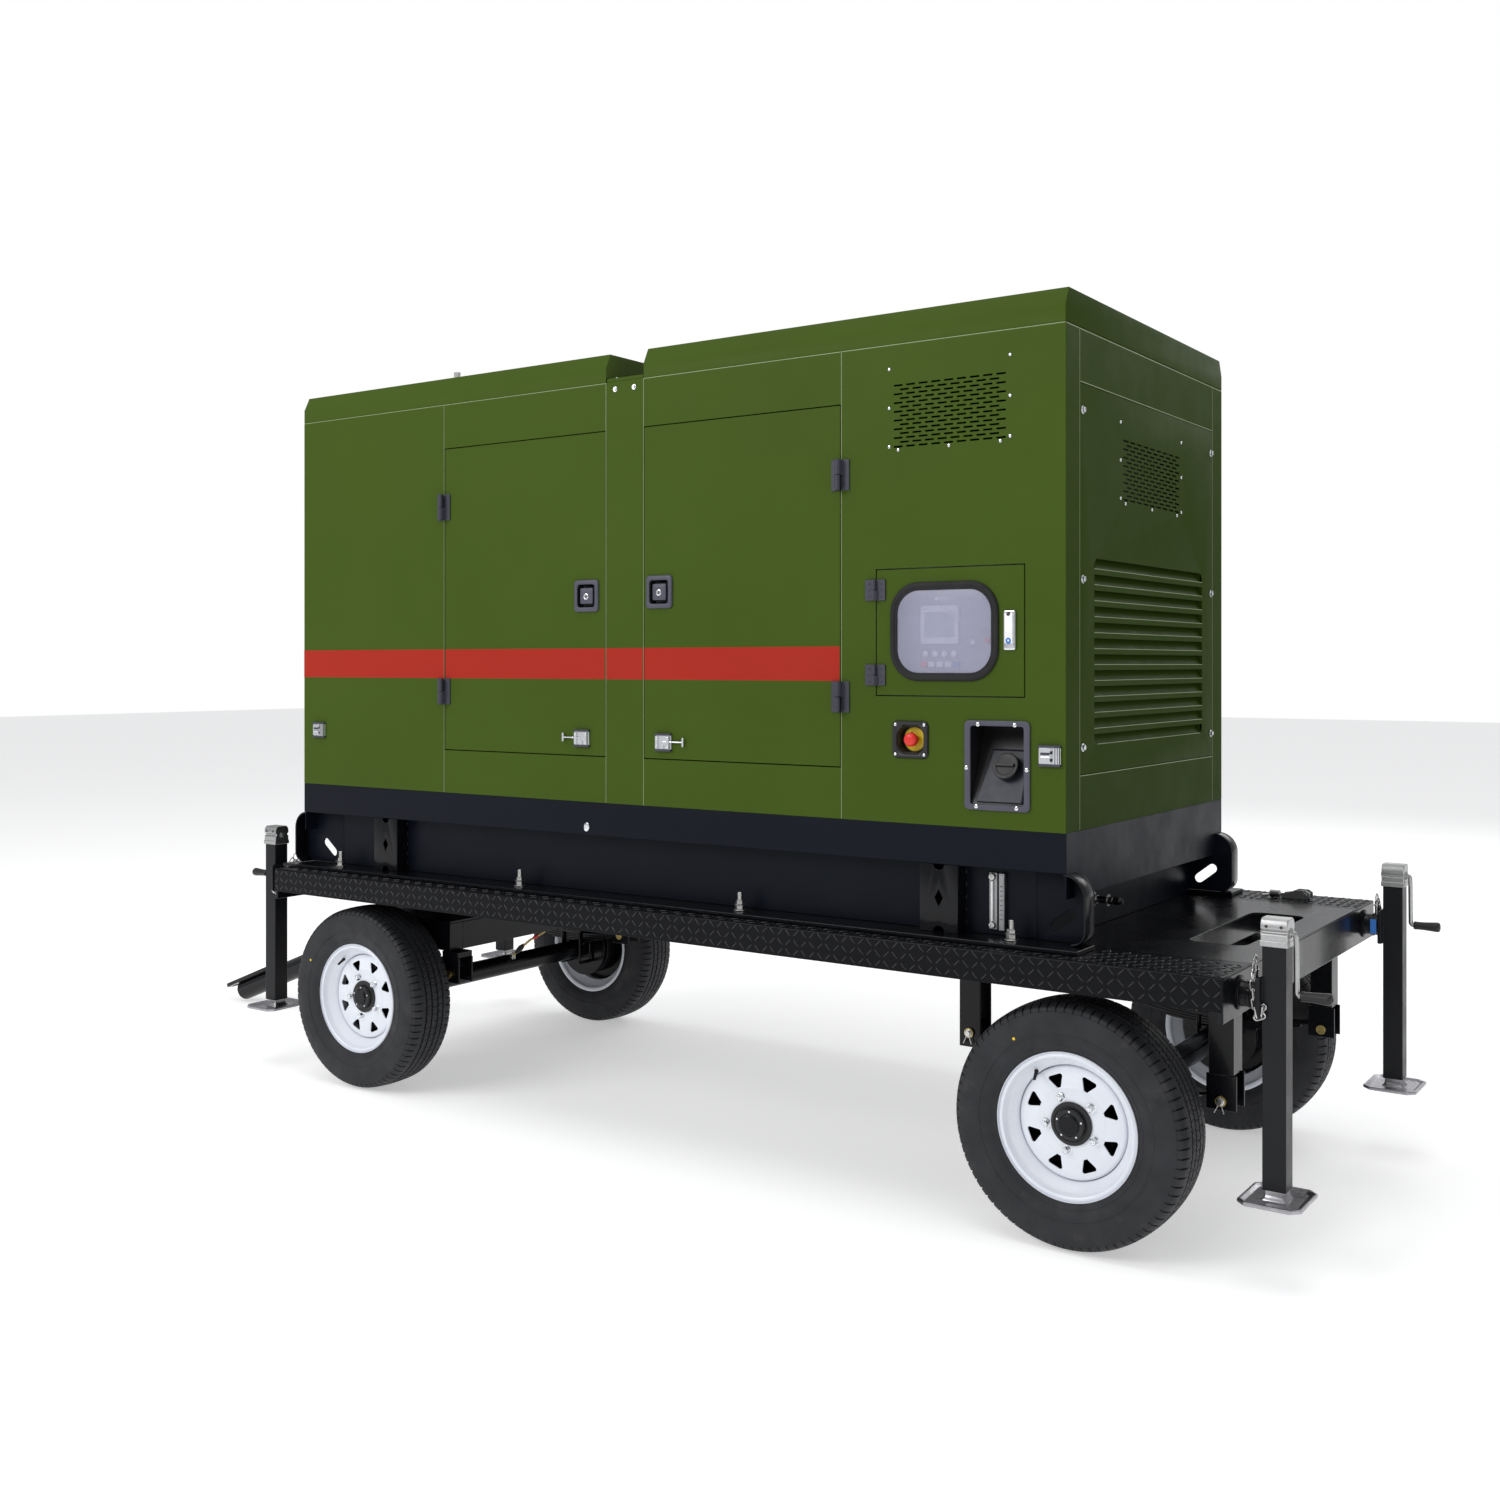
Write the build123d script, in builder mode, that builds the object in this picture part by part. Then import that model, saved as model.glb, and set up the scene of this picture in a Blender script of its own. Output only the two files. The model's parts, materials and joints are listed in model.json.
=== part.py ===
from build123d import *
import math
import os

os.makedirs("parts", exist_ok=True)

# ---------------------------------------------------------------- driving sizes
# millimetres. X runs along the trailer: drawbar at -X, work platform at +X.
# -Y is the control side. Z = 0 is the ground.
END_X = 2530.0            # drawbar eye tip and jack grips, each way from the origin
DECK_X0, DECK_X1 = -1251.0, 2305.0
DECK_Y = 761.0
DECK_Z = 768.5
DECK_T = 4.5
SKIRT_Z = 683.0
STRIP_Y = 530.0           # inner edge of the tread-plate strips

CAN_X0, CAN_X1 = -1226.0, 1849.0
CAN_Y = 643.0
CAN_Z0, CAN_Z1 = 1080.0, 2441.0
SHEET = 3.0
ROOF_EAVE, ROOF_TOP, ROOF_CH = 2488.0, 2537.0, 23.0
LEFT_ROOF_X1, RIGHT_ROOF_X0 = 261.0, 416.0

DOOR_Z0, DOOR_Z1 = 1229.0, 2286.0
DOOR_L = (-477.0, 261.0)  # hinged at its low x
DOOR_R = (416.0, 1151.0)  # hinged at its high x
DOOR_T = 35.0
DOOR_GAP = 3.0
HINGE_OUT = 20.0          # hinge axis proud of the panel
HINGE_Z = (1435.0, 2079.0)
LATCH_L = (180.5, 1753.0)
LATCH_R = (482.0, 1758.0)
STRIKE_L = (162.0, 1288.0)
STRIKE_R = (500.0, 1284.0)
CATCH_L = (-1135.0, 1284.0)
CATCH_R = (1805.0, 1285.0)

CTRL_X, CTRL_Z = (1268.0, 1732.0), (1439.0, 1802.0)
CTRL_OUT = 12.0
CTRL_HINGE_Z = (1499.0, 1742.0)
WIN_C, WIN_W, WIN_H, WIN_R = (1486.5, 1621.5), 337.0, 277.0, 88.0
LOCK_C = (1689.0, 1622.0)
ESTOP_C = (1382.0, 1317.0)
ESTOP_TRAVEL = 6.0
FILL_X, FILL_Z = (1553.0, 1748.0), (1130.0, 1376.0)

WHEEL_R, TYRE_W, RIM_R = 325.0, 188.0, 195.0
WHEEL_Y = 641.0
FRONT_X, REAR_X = -850.0, 1881.0
SPRING_Y = 480.0
SPINDLE_R = 20.0

KING_X = FRONT_X
DRAW_X, DRAW_Z = -1425.0, 480.0
DRAW_R = 44.5

JACK_Y, JACK_Z = 628.0, 712.0
JACK_XR, JACK_XL = 2398.0, -1407.0
JACK_TUBE = 58.0
PAD_Z = 212.0
CRANK_Z, CRANK_ARM = 872.0, 152.0

EXH_X, EXH_Y, EXH_TOP = -900.0, -100.0, 2690.0
SHAFT_Z = 1380.0


def save(name, built):
    built.part.label = name
    export_step(built.part, f"parts/{name}.step")


def slab(x0, x1, y0, y1, z0, z1, mode=Mode.ADD):
    """An axis-aligned block between two corners, added to the open part."""
    with Locations(((x0 + x1) / 2, (y0 + y1) / 2, (z0 + z1) / 2)):
        Box(abs(x1 - x0), abs(y1 - y0), abs(z1 - z0), mode=mode)


def rod(p, q, r, mode=Mode.ADD):
    """A round bar from p to q, along any direction."""
    a, b = Vector(*p), Vector(*q)
    d = b - a
    rot = Plane(origin=a, z_dir=d.normalized())
    with Locations(rot.location):
        Cylinder(r, d.length, align=(Align.CENTER, Align.CENTER, Align.MIN), mode=mode)


G = 0.2  # gap left between neighbouring pieces of one welded group

# ---------------------------------------------------------------- chassis frame
RAIL_Y0, RAIL_Y1 = 440.0, 520.0
with BuildPart() as chassis_frame:
    top = DECK_Z - DECK_T - G
    for s in (-1, 1):
        slab(-1238, 2292, s * RAIL_Y0, s * RAIL_Y1, SKIRT_Z, top)
        slab(-1238, 2292, s * 712, s * (DECK_Y - DECK_T - 1), 694, top)
    for xc in (-1205, -590, 10, 670, 1290, 1850, 2020, 2255):
        for y0, y1 in ((-RAIL_Y0 + G, RAIL_Y0 - G), (RAIL_Y1 + G, 712 - G), (-712 + G, -RAIL_Y1 - G)):
            slab(xc - 30, xc + 30, y0, y1, 694, top)
    # folded end beams, a little deeper than the side skirts
    slab(DECK_X0, -1238 - G, -756, 756, 655, top)
    slab(2292 + G, DECK_X1, -756, 756, 655, top)
    # turntable: base plate, upper ring and king pin
    slab(-1236, -464, -RAIL_Y1, RAIL_Y1, 671, SKIRT_Z - G)
with BuildPart() as turntable_top:
    with BuildSketch(Plane.XY.offset(637)):
        with Locations((KING_X, 0)):
            Circle(380)
            Circle(320, mode=Mode.SUBTRACT)
    extrude(amount=34 - G)
    with BuildSketch(Plane.XY.offset(560)):
        with Locations((KING_X, 0)):
            Circle(30)
    extrude(amount=111 - G)
# swivel stubs that carry the four jacks, with their flange rings
with BuildPart() as jack_stubs:
    for jx, ex in ((JACK_XR, DECK_X1), (JACK_XL, DECK_X0)):
        d = 1 if jx > ex else -1
        for s in (-1, 1):
            rod((ex + d * G, s * JACK_Y, JACK_Z), (ex + d * 8, s * JACK_Y, JACK_Z), 40)
            rod((ex + d * 8, s * JACK_Y, JACK_Z), (ex + d * 46, s * JACK_Y, JACK_Z), 24)
frame_all = Compound(
    children=list(chassis_frame.part.solids())
    + list(turntable_top.part.solids())
    + list(jack_stubs.part.solids())
)
frame_all.label = "chassis_frame"
export_step(frame_all, "parts/chassis_frame.step")

# ---------------------------------------------------------------- deck
with BuildPart() as deck_tread_plates:
    for s in (-1, 1):
        slab(DECK_X0, DECK_X1, s * STRIP_Y, s * DECK_Y, DECK_Z - DECK_T, DECK_Z)
        slab(DECK_X0, DECK_X1, s * (DECK_Y - DECK_T), s * DECK_Y, SKIRT_Z, DECK_Z - DECK_T)
save("deck_tread_plates", deck_tread_plates)

with BuildPart() as deck_center_plate:
    with BuildSketch(Plane.XY.offset(DECK_Z - DECK_T)):
        with Locations(((DECK_X0 + DECK_X1) / 2, 0)):
            Rectangle(DECK_X1 - DECK_X0, 2 * STRIP_Y - 2 * G)
        with Locations((2137, 0)):
            RectangleRounded(160, 600, 35, mode=Mode.SUBTRACT)
    extrude(amount=DECK_T)
save("deck_center_plate", deck_center_plate)

# ---------------------------------------------------------------- skid base
WEB_Y, WEB_T = 585.0, 7.0
EAR_X0, EAR_X1 = CAN_X0 - 55, CAN_X1 + 55
SKID_Z0 = DECK_Z + G
with BuildPart() as skid_base:
    for s in (-1, 1):
        # bottom flange, web, ledge and the flush upper band
        slab(EAR_X0, EAR_X1, s * (WEB_Y - WEB_T), s * 697, SKID_Z0, SKID_Z0 + 12)
        slab(-1070, 1740, s * (WEB_Y - WEB_T), s * WEB_Y, SKID_Z0 + 12 + G, 972 - G)
        slab(CAN_X0 + 4 + G, CAN_X1 - 4 - G, s * (WEB_Y - WEB_T), s * (CAN_Y - 4 - G), 972, 976)
        slab(CAN_X0, CAN_X1, s * (CAN_Y - 4), s * CAN_Y, 972, CAN_Z0 - G)
        # stiffening posts beside the recess
        for xc in (-785, 1467):
            slab(xc - 60, xc + 60, s * (WEB_Y + G), s * (CAN_Y - 6), SKID_Z0 + 12 + G, 972 - G)
    # end faces: upper panel, soffit and recessed lower band behind the lifting slots
    for x, d, inset in ((CAN_X0, 1, 130), (CAN_X1, -1, 90)):
        slab(x, x + d * 4, -(CAN_Y - 4 - G), CAN_Y - 4 - G, 903, CAN_Z0 - G)
        slab(x + d * (4 + G), x + d * (inset + 6), -(WEB_Y - WEB_T - G), WEB_Y - WEB_T - G, 903, 907)
        slab(x + d * inset, x + d * (inset + 6), -(WEB_Y - WEB_T - G), WEB_Y - WEB_T - G, SKID_Z0, 903 - G)
    # bearers that carry engine and alternator
    for xc in (-800, -300, 250, 800):
        slab(xc - 40, xc + 40, -(WEB_Y - WEB_T - G), WEB_Y - WEB_T - G, 1010, 1070)
with BuildPart() as skid_ears:
    # lifting ears: web ends with an inclined slot and a rolled flat-bar rim
    for s in (-1, 1):
        for x0, x1, e, slot_x in ((1740 + G, EAR_X1, 1, 1817), (EAR_X0, -1070 - G, -1, -1148)):
            with BuildSketch(Plane.XZ.offset(-s * WEB_Y)):
                with BuildLine():
                    xa, xb = (x0, x1) if e > 0 else (x1, x0)
                    Polyline(
                        (xa, SKID_Z0 + 12 + G), (xb, SKID_Z0 + 12 + G), (xb, 930), (xb - e * 42, 972 - G),
                        (xa, 972 - G), (xa, SKID_Z0 + 12 + G),
                    )
                make_face()
                with Locations(Location((slot_x, 838, 0), (0, 0, 38 * e))):
                    SlotOverall(86, 30, mode=Mode.SUBTRACT)
            extrude(amount=s * WEB_T)
skid_rims = []
for s in (-1, 1):
    for xb, e in ((EAR_X1, 1), (EAR_X0, -1)):
        with BuildPart() as rim:
            slab(xb - e * 6, xb, s * (WEB_Y + G), s * (CAN_Y - 1), SKID_Z0 + 12 + G, 930)
            with BuildSketch(Plane.XZ.offset(-s * (WEB_Y + G))):
                with BuildLine():
                    Polyline((xb, 930), (xb - e * 42, 972 - G), (xb - e * 50, 972 - G), (xb - e * 6, 927), (xb, 930))
                make_face()
            extrude(amount=-s * (CAN_Y - 1 - WEB_Y - G))
        skid_rims += list(rim.part.solids())
with BuildPart() as skid_fittings:
    for s in (-1, 1):
        for xc in (-1022, -120, 790, 1692):
            with Locations((xc, s * 640, SKID_Z0 + 12 + G)):
                Cylinder(13, 4, align=(Align.CENTER, Align.CENTER, Align.MIN))
            with BuildSketch(Plane.XY.offset(SKID_Z0 + 16 + G)):
                with Locations((xc, s * 640)):
                    RegularPolygon(12, 6)
            extrude(amount=12)
    # fuel sight gauge on the near web, drain valve on the right-hand end
    slab(1600, 1652, -(WEB_Y + 16), -(WEB_Y + G), 795, 955)
    rod((1759 + G, -241, 850), (1812 + 26, -241, 850), 11)
    rod((1812 + 26, -241, 850), (1812 + 40, -241, 850), 7)
skid_all = Compound(
    children=list(skid_base.part.solids()) + list(skid_ears.part.solids()) + skid_rims + list(skid_fittings.part.solids())
)
skid_all.label = "skid_base"
export_step(skid_all, "parts/skid_base.step")

with BuildPart() as fuel_tank:
    slab(300, 1700, -540, 540, 800, 990)
    fillet(fuel_tank.edges().filter_by(Axis.X), 40)
    slab(305, 1695, -535, 535, 805, 985, mode=Mode.SUBTRACT)
save("fuel_tank", fuel_tank)

# ---------------------------------------------------------------- canopy frame
POST = 40.0
IN_Y = CAN_Y - SHEET - G          # frame sits just inside the sheets
IN_X0, IN_X1 = CAN_X0 + SHEET + G, CAN_X1 - SHEET - G
ZP0, ZP1 = CAN_Z0 + G, CAN_Z1 - G
POST_X = (IN_X0, DOOR_L[0] - POST - 12, DOOR_L[1] + 12, DOOR_R[0] - POST - 12, DOOR_R[1] + 12, IN_X1 - POST)
with BuildPart() as canopy_frame:
    for s in (-1, 1):
        for x in POST_X:
            slab(x, x + POST, s * (IN_Y - POST), s * IN_Y, ZP0 + POST + G, ZP1 - POST - G)
        for z in (ZP0, ZP1 - POST):
            slab(IN_X0, IN_X1, s * (IN_Y - POST), s * IN_Y, z, z + POST)
        # door sill and header bars between the posts
        for a, b in ((POST_X[1], POST_X[2]), (POST_X[3], POST_X[4])):
            for z in (DOOR_Z0 - POST - 12, DOOR_Z1 + 12):
                slab(a + POST + G, b - G, s * (IN_Y - POST), s * IN_Y, z, z + POST)
    for x in (IN_X0, POST_X[2], POST_X[3], IN_X1 - POST):
        for z in (ZP0, ZP1 - POST) if x in (IN_X0, IN_X1 - POST) else (ZP1 - POST,):
            slab(x, x + POST, -(IN_Y - POST - G), IN_Y - POST - G, z, z + POST)
    # flat bridge under the gap between the two roof shells
    slab(LEFT_ROOF_X1 + 2, RIGHT_ROOF_X0 - 2, -(CAN_Y - 2), CAN_Y - 2, CAN_Z1 + G, CAN_Z1 + 12)
save("canopy_frame", canopy_frame)

# ---------------------------------------------------------------- canopy sheets
VENT_C, VENT_W, VENT_H = (1501.0, 2235.0), 348.0, 174.0


def side_sheets(s):
    """Fixed sheets of one long side: s = -1 control side, +1 far side."""
    plane = Plane.XZ.offset(-s * (CAN_Y - SHEET))
    with BuildPart() as side:
        # left panel, headers, sills and centre pillar as separate sheets
        for x0, x1, z0, z1 in (
            (CAN_X0, DOOR_L[0] - 1, CAN_Z0, CAN_Z1),
            (DOOR_L[0], DOOR_L[1], DOOR_Z1, CAN_Z1),
            (DOOR_L[0], DOOR_L[1], CAN_Z0, DOOR_Z0),
            (DOOR_L[1] + 1, DOOR_R[0] - 1, CAN_Z0, CAN_Z1),
            (DOOR_R[0], DOOR_R[1], DOOR_Z1, CAN_Z1),
            (DOOR_R[0], DOOR_R[1], CAN_Z0, DOOR_Z0),
        ):
            slab(x0, x1, s * (CAN_Y - SHEET), s * CAN_Y, z0, z1)
        with BuildSketch(plane):
            with Locations(((DOOR_R[1] + 1 + CAN_X1) / 2, (CAN_Z0 + CAN_Z1) / 2)):
                Rectangle(CAN_X1 - DOOR_R[1] - 1, CAN_Z1 - CAN_Z0)
            # cooling-air slots in staggered rows
            for i in range(15):
                z = VENT_C[1] - VENT_H / 2 + i * VENT_H / 14
                n = 9 if i % 2 == 0 else 8
                with Locations((VENT_C[0], z)):
                    with GridLocations(40, 1, n, 1):
                        Rectangle(28, 5, mode=Mode.SUBTRACT)
            if s < 0:
                with Locations(((CTRL_X[0] + CTRL_X[1]) / 2, (CTRL_Z[0] + CTRL_Z[1]) / 2)):
                    Rectangle(CTRL_X[1] - CTRL_X[0], CTRL_Z[1] - CTRL_Z[0], mode=Mode.SUBTRACT)
                with Locations(ESTOP_C):
                    Rectangle(96, 88, mode=Mode.SUBTRACT)
                with Locations(((FILL_X[0] + FILL_X[1]) / 2, (FILL_Z[0] + FILL_Z[1]) / 2)):
                    Rectangle(176, 226, mode=Mode.SUBTRACT)
        extrude(amount=-s * SHEET)
    return side


canopy_side_near = side_sheets(-1)
save("canopy_side_near", canopy_side_near)
canopy_side_far = side_sheets(1)
save("canopy_side_far", canopy_side_far)

END_Y, END_Z0, END_Z1 = 547.0, 1230.0, 2293.0
with BuildPart() as canopy_end_right:
    x0 = CAN_X1 - SHEET
    y1 = CAN_Y - SHEET - G
    for s in (-1, 1):
        slab(x0, CAN_X1, s * (END_Y + 1), s * y1, CAN_Z0, CAN_Z1)
    slab(x0, CAN_X1, -END_Y, END_Y, CAN_Z0, END_Z0 - 1)
    slab(x0, CAN_X1, -END_Y, END_Y, END_Z1 + 1, CAN_Z1)
    # lift-off air-inlet panel: slotted vent above, twelve louvre openings below
    with BuildSketch(Plane.YZ.offset(x0)):
        with Locations((0, (END_Z0 + END_Z1) / 2)):
            Rectangle(2 * END_Y - 1, END_Z1 - END_Z0 - 1)
        for i in range(15):
            n = 9 if i % 2 == 0 else 8
            with Locations((0, 2003 + i * 12.1)):
                with GridLocations(53.4, 1, n, 1):
                    Rectangle(40, 5, mode=Mode.SUBTRACT)
        for i in range(12):
            with Locations((0, 1323.7 + i * 44.06)):
                Rectangle(894, 27.3, mode=Mode.SUBTRACT)
    extrude(amount=SHEET)
save("canopy_end_right", canopy_end_right)

with BuildPart() as canopy_end_left:
    x0 = CAN_X0
    for s in (-1, 1):
        slab(x0, x0 + SHEET, s * (END_Y + 1), s * y1, CAN_Z0, CAN_Z1)
    slab(x0, x0 + SHEET, -END_Y, END_Y, CAN_Z0, END_Z0 - 1)
    slab(x0, x0 + SHEET, -END_Y, END_Y, END_Z1 + 1, CAN_Z1)
    # hot-air outlet panel in front of the radiator
    with BuildSketch(Plane.YZ.offset(x0)):
        with Locations((0, (END_Z0 + END_Z1) / 2)):
            Rectangle(2 * END_Y - 1, END_Z1 - END_Z0 - 1)
        for i in range(19):
            with Locations((0, 1330 + i * 42)):
                Rectangle(860, 16, mode=Mode.SUBTRACT)
    extrude(amount=SHEET)
save("canopy_end_left", canopy_end_left)


def roof(x0, x1, cap_end):
    """Folded roof shell between x0 and x1 with an end plate at its outer end."""
    with BuildPart() as shell:
        with BuildSketch(Plane.YZ.offset(x0)):
            with BuildLine():
                Polyline(
                    (-CAN_Y, CAN_Z1 + G), (-CAN_Y, ROOF_EAVE), (-(CAN_Y - ROOF_CH), ROOF_TOP),
                    (CAN_Y - ROOF_CH, ROOF_TOP), (CAN_Y, ROOF_EAVE), (CAN_Y, CAN_Z1 + G),
                    (CAN_Y - SHEET, CAN_Z1 + G), (CAN_Y - SHEET, ROOF_EAVE - 1), (CAN_Y - ROOF_CH - 1.6, ROOF_TOP - SHEET),
                    (-(CAN_Y - ROOF_CH - 1.6), ROOF_TOP - SHEET), (-(CAN_Y - SHEET), ROOF_EAVE - 1), (-(CAN_Y - SHEET), CAN_Z1 + G),
                    (-CAN_Y, CAN_Z1 + G),
                )
            make_face()
        extrude(amount=x1 - x0)
        for xe in ((x0,) if cap_end < 0 else (x1 - SHEET,)) + ((x1 - SHEET,) if cap_end < 0 else (x0,)):
            with BuildSketch(Plane.YZ.offset(xe)):
                with BuildLine():
                    Polyline(
                        (-CAN_Y + 1, CAN_Z1 + 14), (-CAN_Y + 1, ROOF_EAVE), (-(CAN_Y - ROOF_CH), ROOF_TOP - 1),
                        (CAN_Y - ROOF_CH, ROOF_TOP - 1), (CAN_Y - 1, ROOF_EAVE), (CAN_Y - 1, CAN_Z1 + 14),
                        (-CAN_Y + 1, CAN_Z1 + 14),
                    )
                make_face()
            extrude(amount=SHEET)
        if x0 < EXH_X < x1:
            with Locations((EXH_X, EXH_Y, ROOF_TOP)):
                Cylinder(46, 20, mode=Mode.SUBTRACT)
    return shell


roof_left = roof(CAN_X0, LEFT_ROOF_X1, -1)
save("roof_left", roof_left)
roof_right = roof(RIGHT_ROOF_X0, CAN_X1, 1)
save("roof_right", roof_right)

# ---------------------------------------------------------------- canopy hardware
def hinge_half(hx, zc, s, side, fixed, out=HINGE_OUT, h=45.0, leaf=30.0, kr=8.5, pin=4.0, face=CAN_Y):
    """Hinge leaf with its half knuckle. side = +1 puts the leaf at larger x.
    The fixed half carries the pin; the moving half turns on it."""
    ya, yk = face + G, face + out
    slab(hx + side * 3, hx + side * leaf, s * ya, s * (ya + 5), zc - h, zc + h)
    za, zb = (zc + 1, zc + h) if fixed else (zc - h, zc - 1)
    slab(hx + side * 3, hx + side * 9, s * (ya + 5), s * yk, za, zb)
    with Locations((hx, s * yk, za)):
        Cylinder(kr, zb - za, align=(Align.CENTER, Align.CENTER, Align.MIN))
    if fixed:
        with Locations((hx, s * yk, zc - h)):
            Cylinder(pin, h + 2, align=(Align.CENTER, Align.CENTER, Align.MIN))
    else:
        with Locations((hx, s * yk, za - 1)):
            Cylinder(pin + 0.05, zb - za + 2, align=(Align.CENTER, Align.CENTER, Align.MIN), mode=Mode.SUBTRACT)


with BuildPart() as canopy_hardware:
    for s in (-1, 1):
        for z in HINGE_Z:
            hinge_half(DOOR_L[0], z, s, -1, True)
            hinge_half(DOOR_R[1], z, s, 1, True)
        for cx, cz in (CATCH_L, CATCH_R):
            slab(cx - 32, cx + 32, s * (CAN_Y + G), s * (CAN_Y + 16), cz - 29, cz + 29)
    for z in CTRL_HINGE_Z:
        hinge_half(CTRL_X[0], z, -1, -1, True, out=CTRL_OUT, h=30, leaf=33, kr=6, pin=3)
    # emergency-stop housing: bezel frame, recess walls and floor
    ex, ez = ESTOP_C
    for x0, x1, z0, z1 in ((-57, 57, 36, 53), (-57, 57, -53, -36), (-57, -40, -36 + G, 36 - G), (40, 57, -36 + G, 36 - G)):
        slab(ex + x0, ex + x1, -(CAN_Y + 7), -(CAN_Y + G), ez + z0, ez + z1)
    for x0, x1, z0, z1 in ((-44, 44, 37, 41), (-44, 44, -41, -37), (-44, -40, -37 + G, 37 - G), (40, 44, -37 + G, 37 - G)):
        slab(ex + x0, ex + x1, -(CAN_Y - G), -(CAN_Y - 28), ez + z0, ez + z1)
    slab(ex - 44, ex + 44, -(CAN_Y - 28 - G), -(CAN_Y - 33), ez - 41, ez + 41)
    with Locations((ex, -(CAN_Y - 31), ez)):
        Cylinder(12.05, 20, rotation=(90, 0, 0), mode=Mode.SUBTRACT)
# fuel filler box: flange frame, side walls and sloping shelf with the neck
fx, fz = sum(FILL_X) / 2, sum(FILL_Z) / 2
FILL_SLOPE = math.degrees(math.atan2(80, 180))
NECK = Plane(origin=(1667, -(560 + 80 * (1330 - 1241) / 180), 1241), z_dir=(0, -math.cos(math.radians(FILL_SLOPE)), math.sin(math.radians(FILL_SLOPE))))
with BuildPart() as filler_box:
    for x0, x1, z0, z1 in ((-97.5, 97.5, 113, 123), (-97.5, 97.5, -123, -113), (-97.5, -87.5, -113 + G, 113 - G), (87.5, 97.5, -113 + G, 113 - G)):
        slab(fx + x0, fx + x1, -(CAN_Y + 6), -(CAN_Y + G), fz + z0, fz + z1)
    for x0, x1 in ((-87, -84), (84, 87)):
        slab(fx + x0, fx + x1, -(CAN_Y - G), -548, fz - 112, fz + 112)
    slab(fx - 84 + G, fx + 84 - G, -(CAN_Y - G), -548, fz + 109, fz + 112)
    with BuildSketch(Plane.YZ.offset(fx - 84 + G)):
        with BuildLine():
            Polyline((-560, 1330), (-642, 1145.5), (-642, 1142), (-556, 1330), (-548.5, 1361), (-552.5, 1361), (-560, 1330))
        make_face()
    extrude(amount=168 - 2 * G)
    with Locations(NECK.offset(6).location):
        Cylinder(28, 20)
        Cylinder(24, 40, mode=Mode.SUBTRACT)
hardware_all = Compound(children=list(canopy_hardware.part.solids()) + list(filler_box.part.solids()))
hardware_all.label = "canopy_hardware"
export_step(hardware_all, "parts/canopy_hardware.step")

with BuildPart() as fuel_cap:
    with Locations(NECK.offset(16.4).location):
        Cylinder(38, 16, align=(Align.CENTER, Align.CENTER, Align.MIN))
    with Locations(NECK.offset(10).location):
        Cylinder(23.6, 7, align=(Align.CENTER, Align.CENTER, Align.MIN))
    with Locations(NECK.offset(32.3).location):
        Box(60, 12, 7, align=(Align.CENTER, Align.CENTER, Align.MIN))
save("fuel_cap", fuel_cap)

with BuildPart() as estop_button:
    rod((ESTOP_C[0], -(CAN_Y - 36), ESTOP_C[1]), (ESTOP_C[0], -(CAN_Y - 6), ESTOP_C[1]), 12)
    rod((ESTOP_C[0], -(CAN_Y - 6.2), ESTOP_C[1]), (ESTOP_C[0], -(CAN_Y + 12), ESTOP_C[1]), 20)
    fillet(estop_button.faces().sort_by(Axis.Y)[0].edges(), 6)
save("estop_button", estop_button)


# ---------------------------------------------------------------- doors
def door(s, span, hinge_side, latch, strike):
    """Door leaf pan with latch bezel, hinge leaves and hold-back striker."""
    x0, x1 = span[0] + DOOR_GAP, span[1] - DOOR_GAP
    z0, z1 = DOOR_Z0 + DOOR_GAP, DOOR_Z1 - DOOR_GAP
    lx, lz = latch
    tx, tz = strike
    hx = span[0] if hinge_side < 0 else span[1]
    with BuildPart() as leaf:
        slab(x0, x1, s * (CAN_Y - DOOR_T), s * CAN_Y, z0, z1)
        slab(x0 + 2, x1 - 2, s * (CAN_Y - DOOR_T - 1), s * (CAN_Y - 2), z0 + 2, z1 - 2, mode=Mode.SUBTRACT)
        slab(lx - 45, lx + 45, s * (CAN_Y - 3), s * (CAN_Y + 1), lz - 40, lz + 40, mode=Mode.SUBTRACT)
        # latch dish: four walls and a floor behind the opening
        for a, b, c, d in ((-48, 48, 40, 43), (-48, 48, -43, -40), (-48, -45, -40, 40), (45, 48, -40, 40)):
            slab(lx + a, lx + b, s * (CAN_Y - 24), s * (CAN_Y - 1), lz + c, lz + d)
        slab(lx - 48, lx + 48, s * (CAN_Y - 26), s * (CAN_Y - 24), lz - 43, lz + 43)
    with BuildPart() as fittings:
        for a, b, c, d in ((-57.5, 57.5, 40, 51.5), (-57.5, 57.5, -51.5, -40), (-57.5, -45, -40, 40), (45, 57.5, -40, 40)):
            slab(lx + a, lx + b, s * (CAN_Y + G), s * (CAN_Y + 8), lz + c, lz + d)
        rod((lx - 49, s * (CAN_Y + 4), lz + 33), (lx + 49, s * (CAN_Y + 4), lz + 33), 2.55, mode=Mode.SUBTRACT)
        for z in HINGE_Z:
            hinge_half(hx, z, s, -hinge_side, False)
        slab(tx - 32, tx + 32, s * (CAN_Y + G), s * (CAN_Y + 16), tz - 29, tz + 29)
        e = hinge_side
        rod((tx + e * 32, s * (CAN_Y + 9), tz), (tx + e * 80, s * (CAN_Y + 9), tz), 3)
        rod((tx + e * 80, s * (CAN_Y + 9), tz - 14), (tx + e * 80, s * (CAN_Y + 9), tz + 14), 3)
    return Compound(children=list(leaf.part.solids()) + list(fittings.part.solids()))


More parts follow.
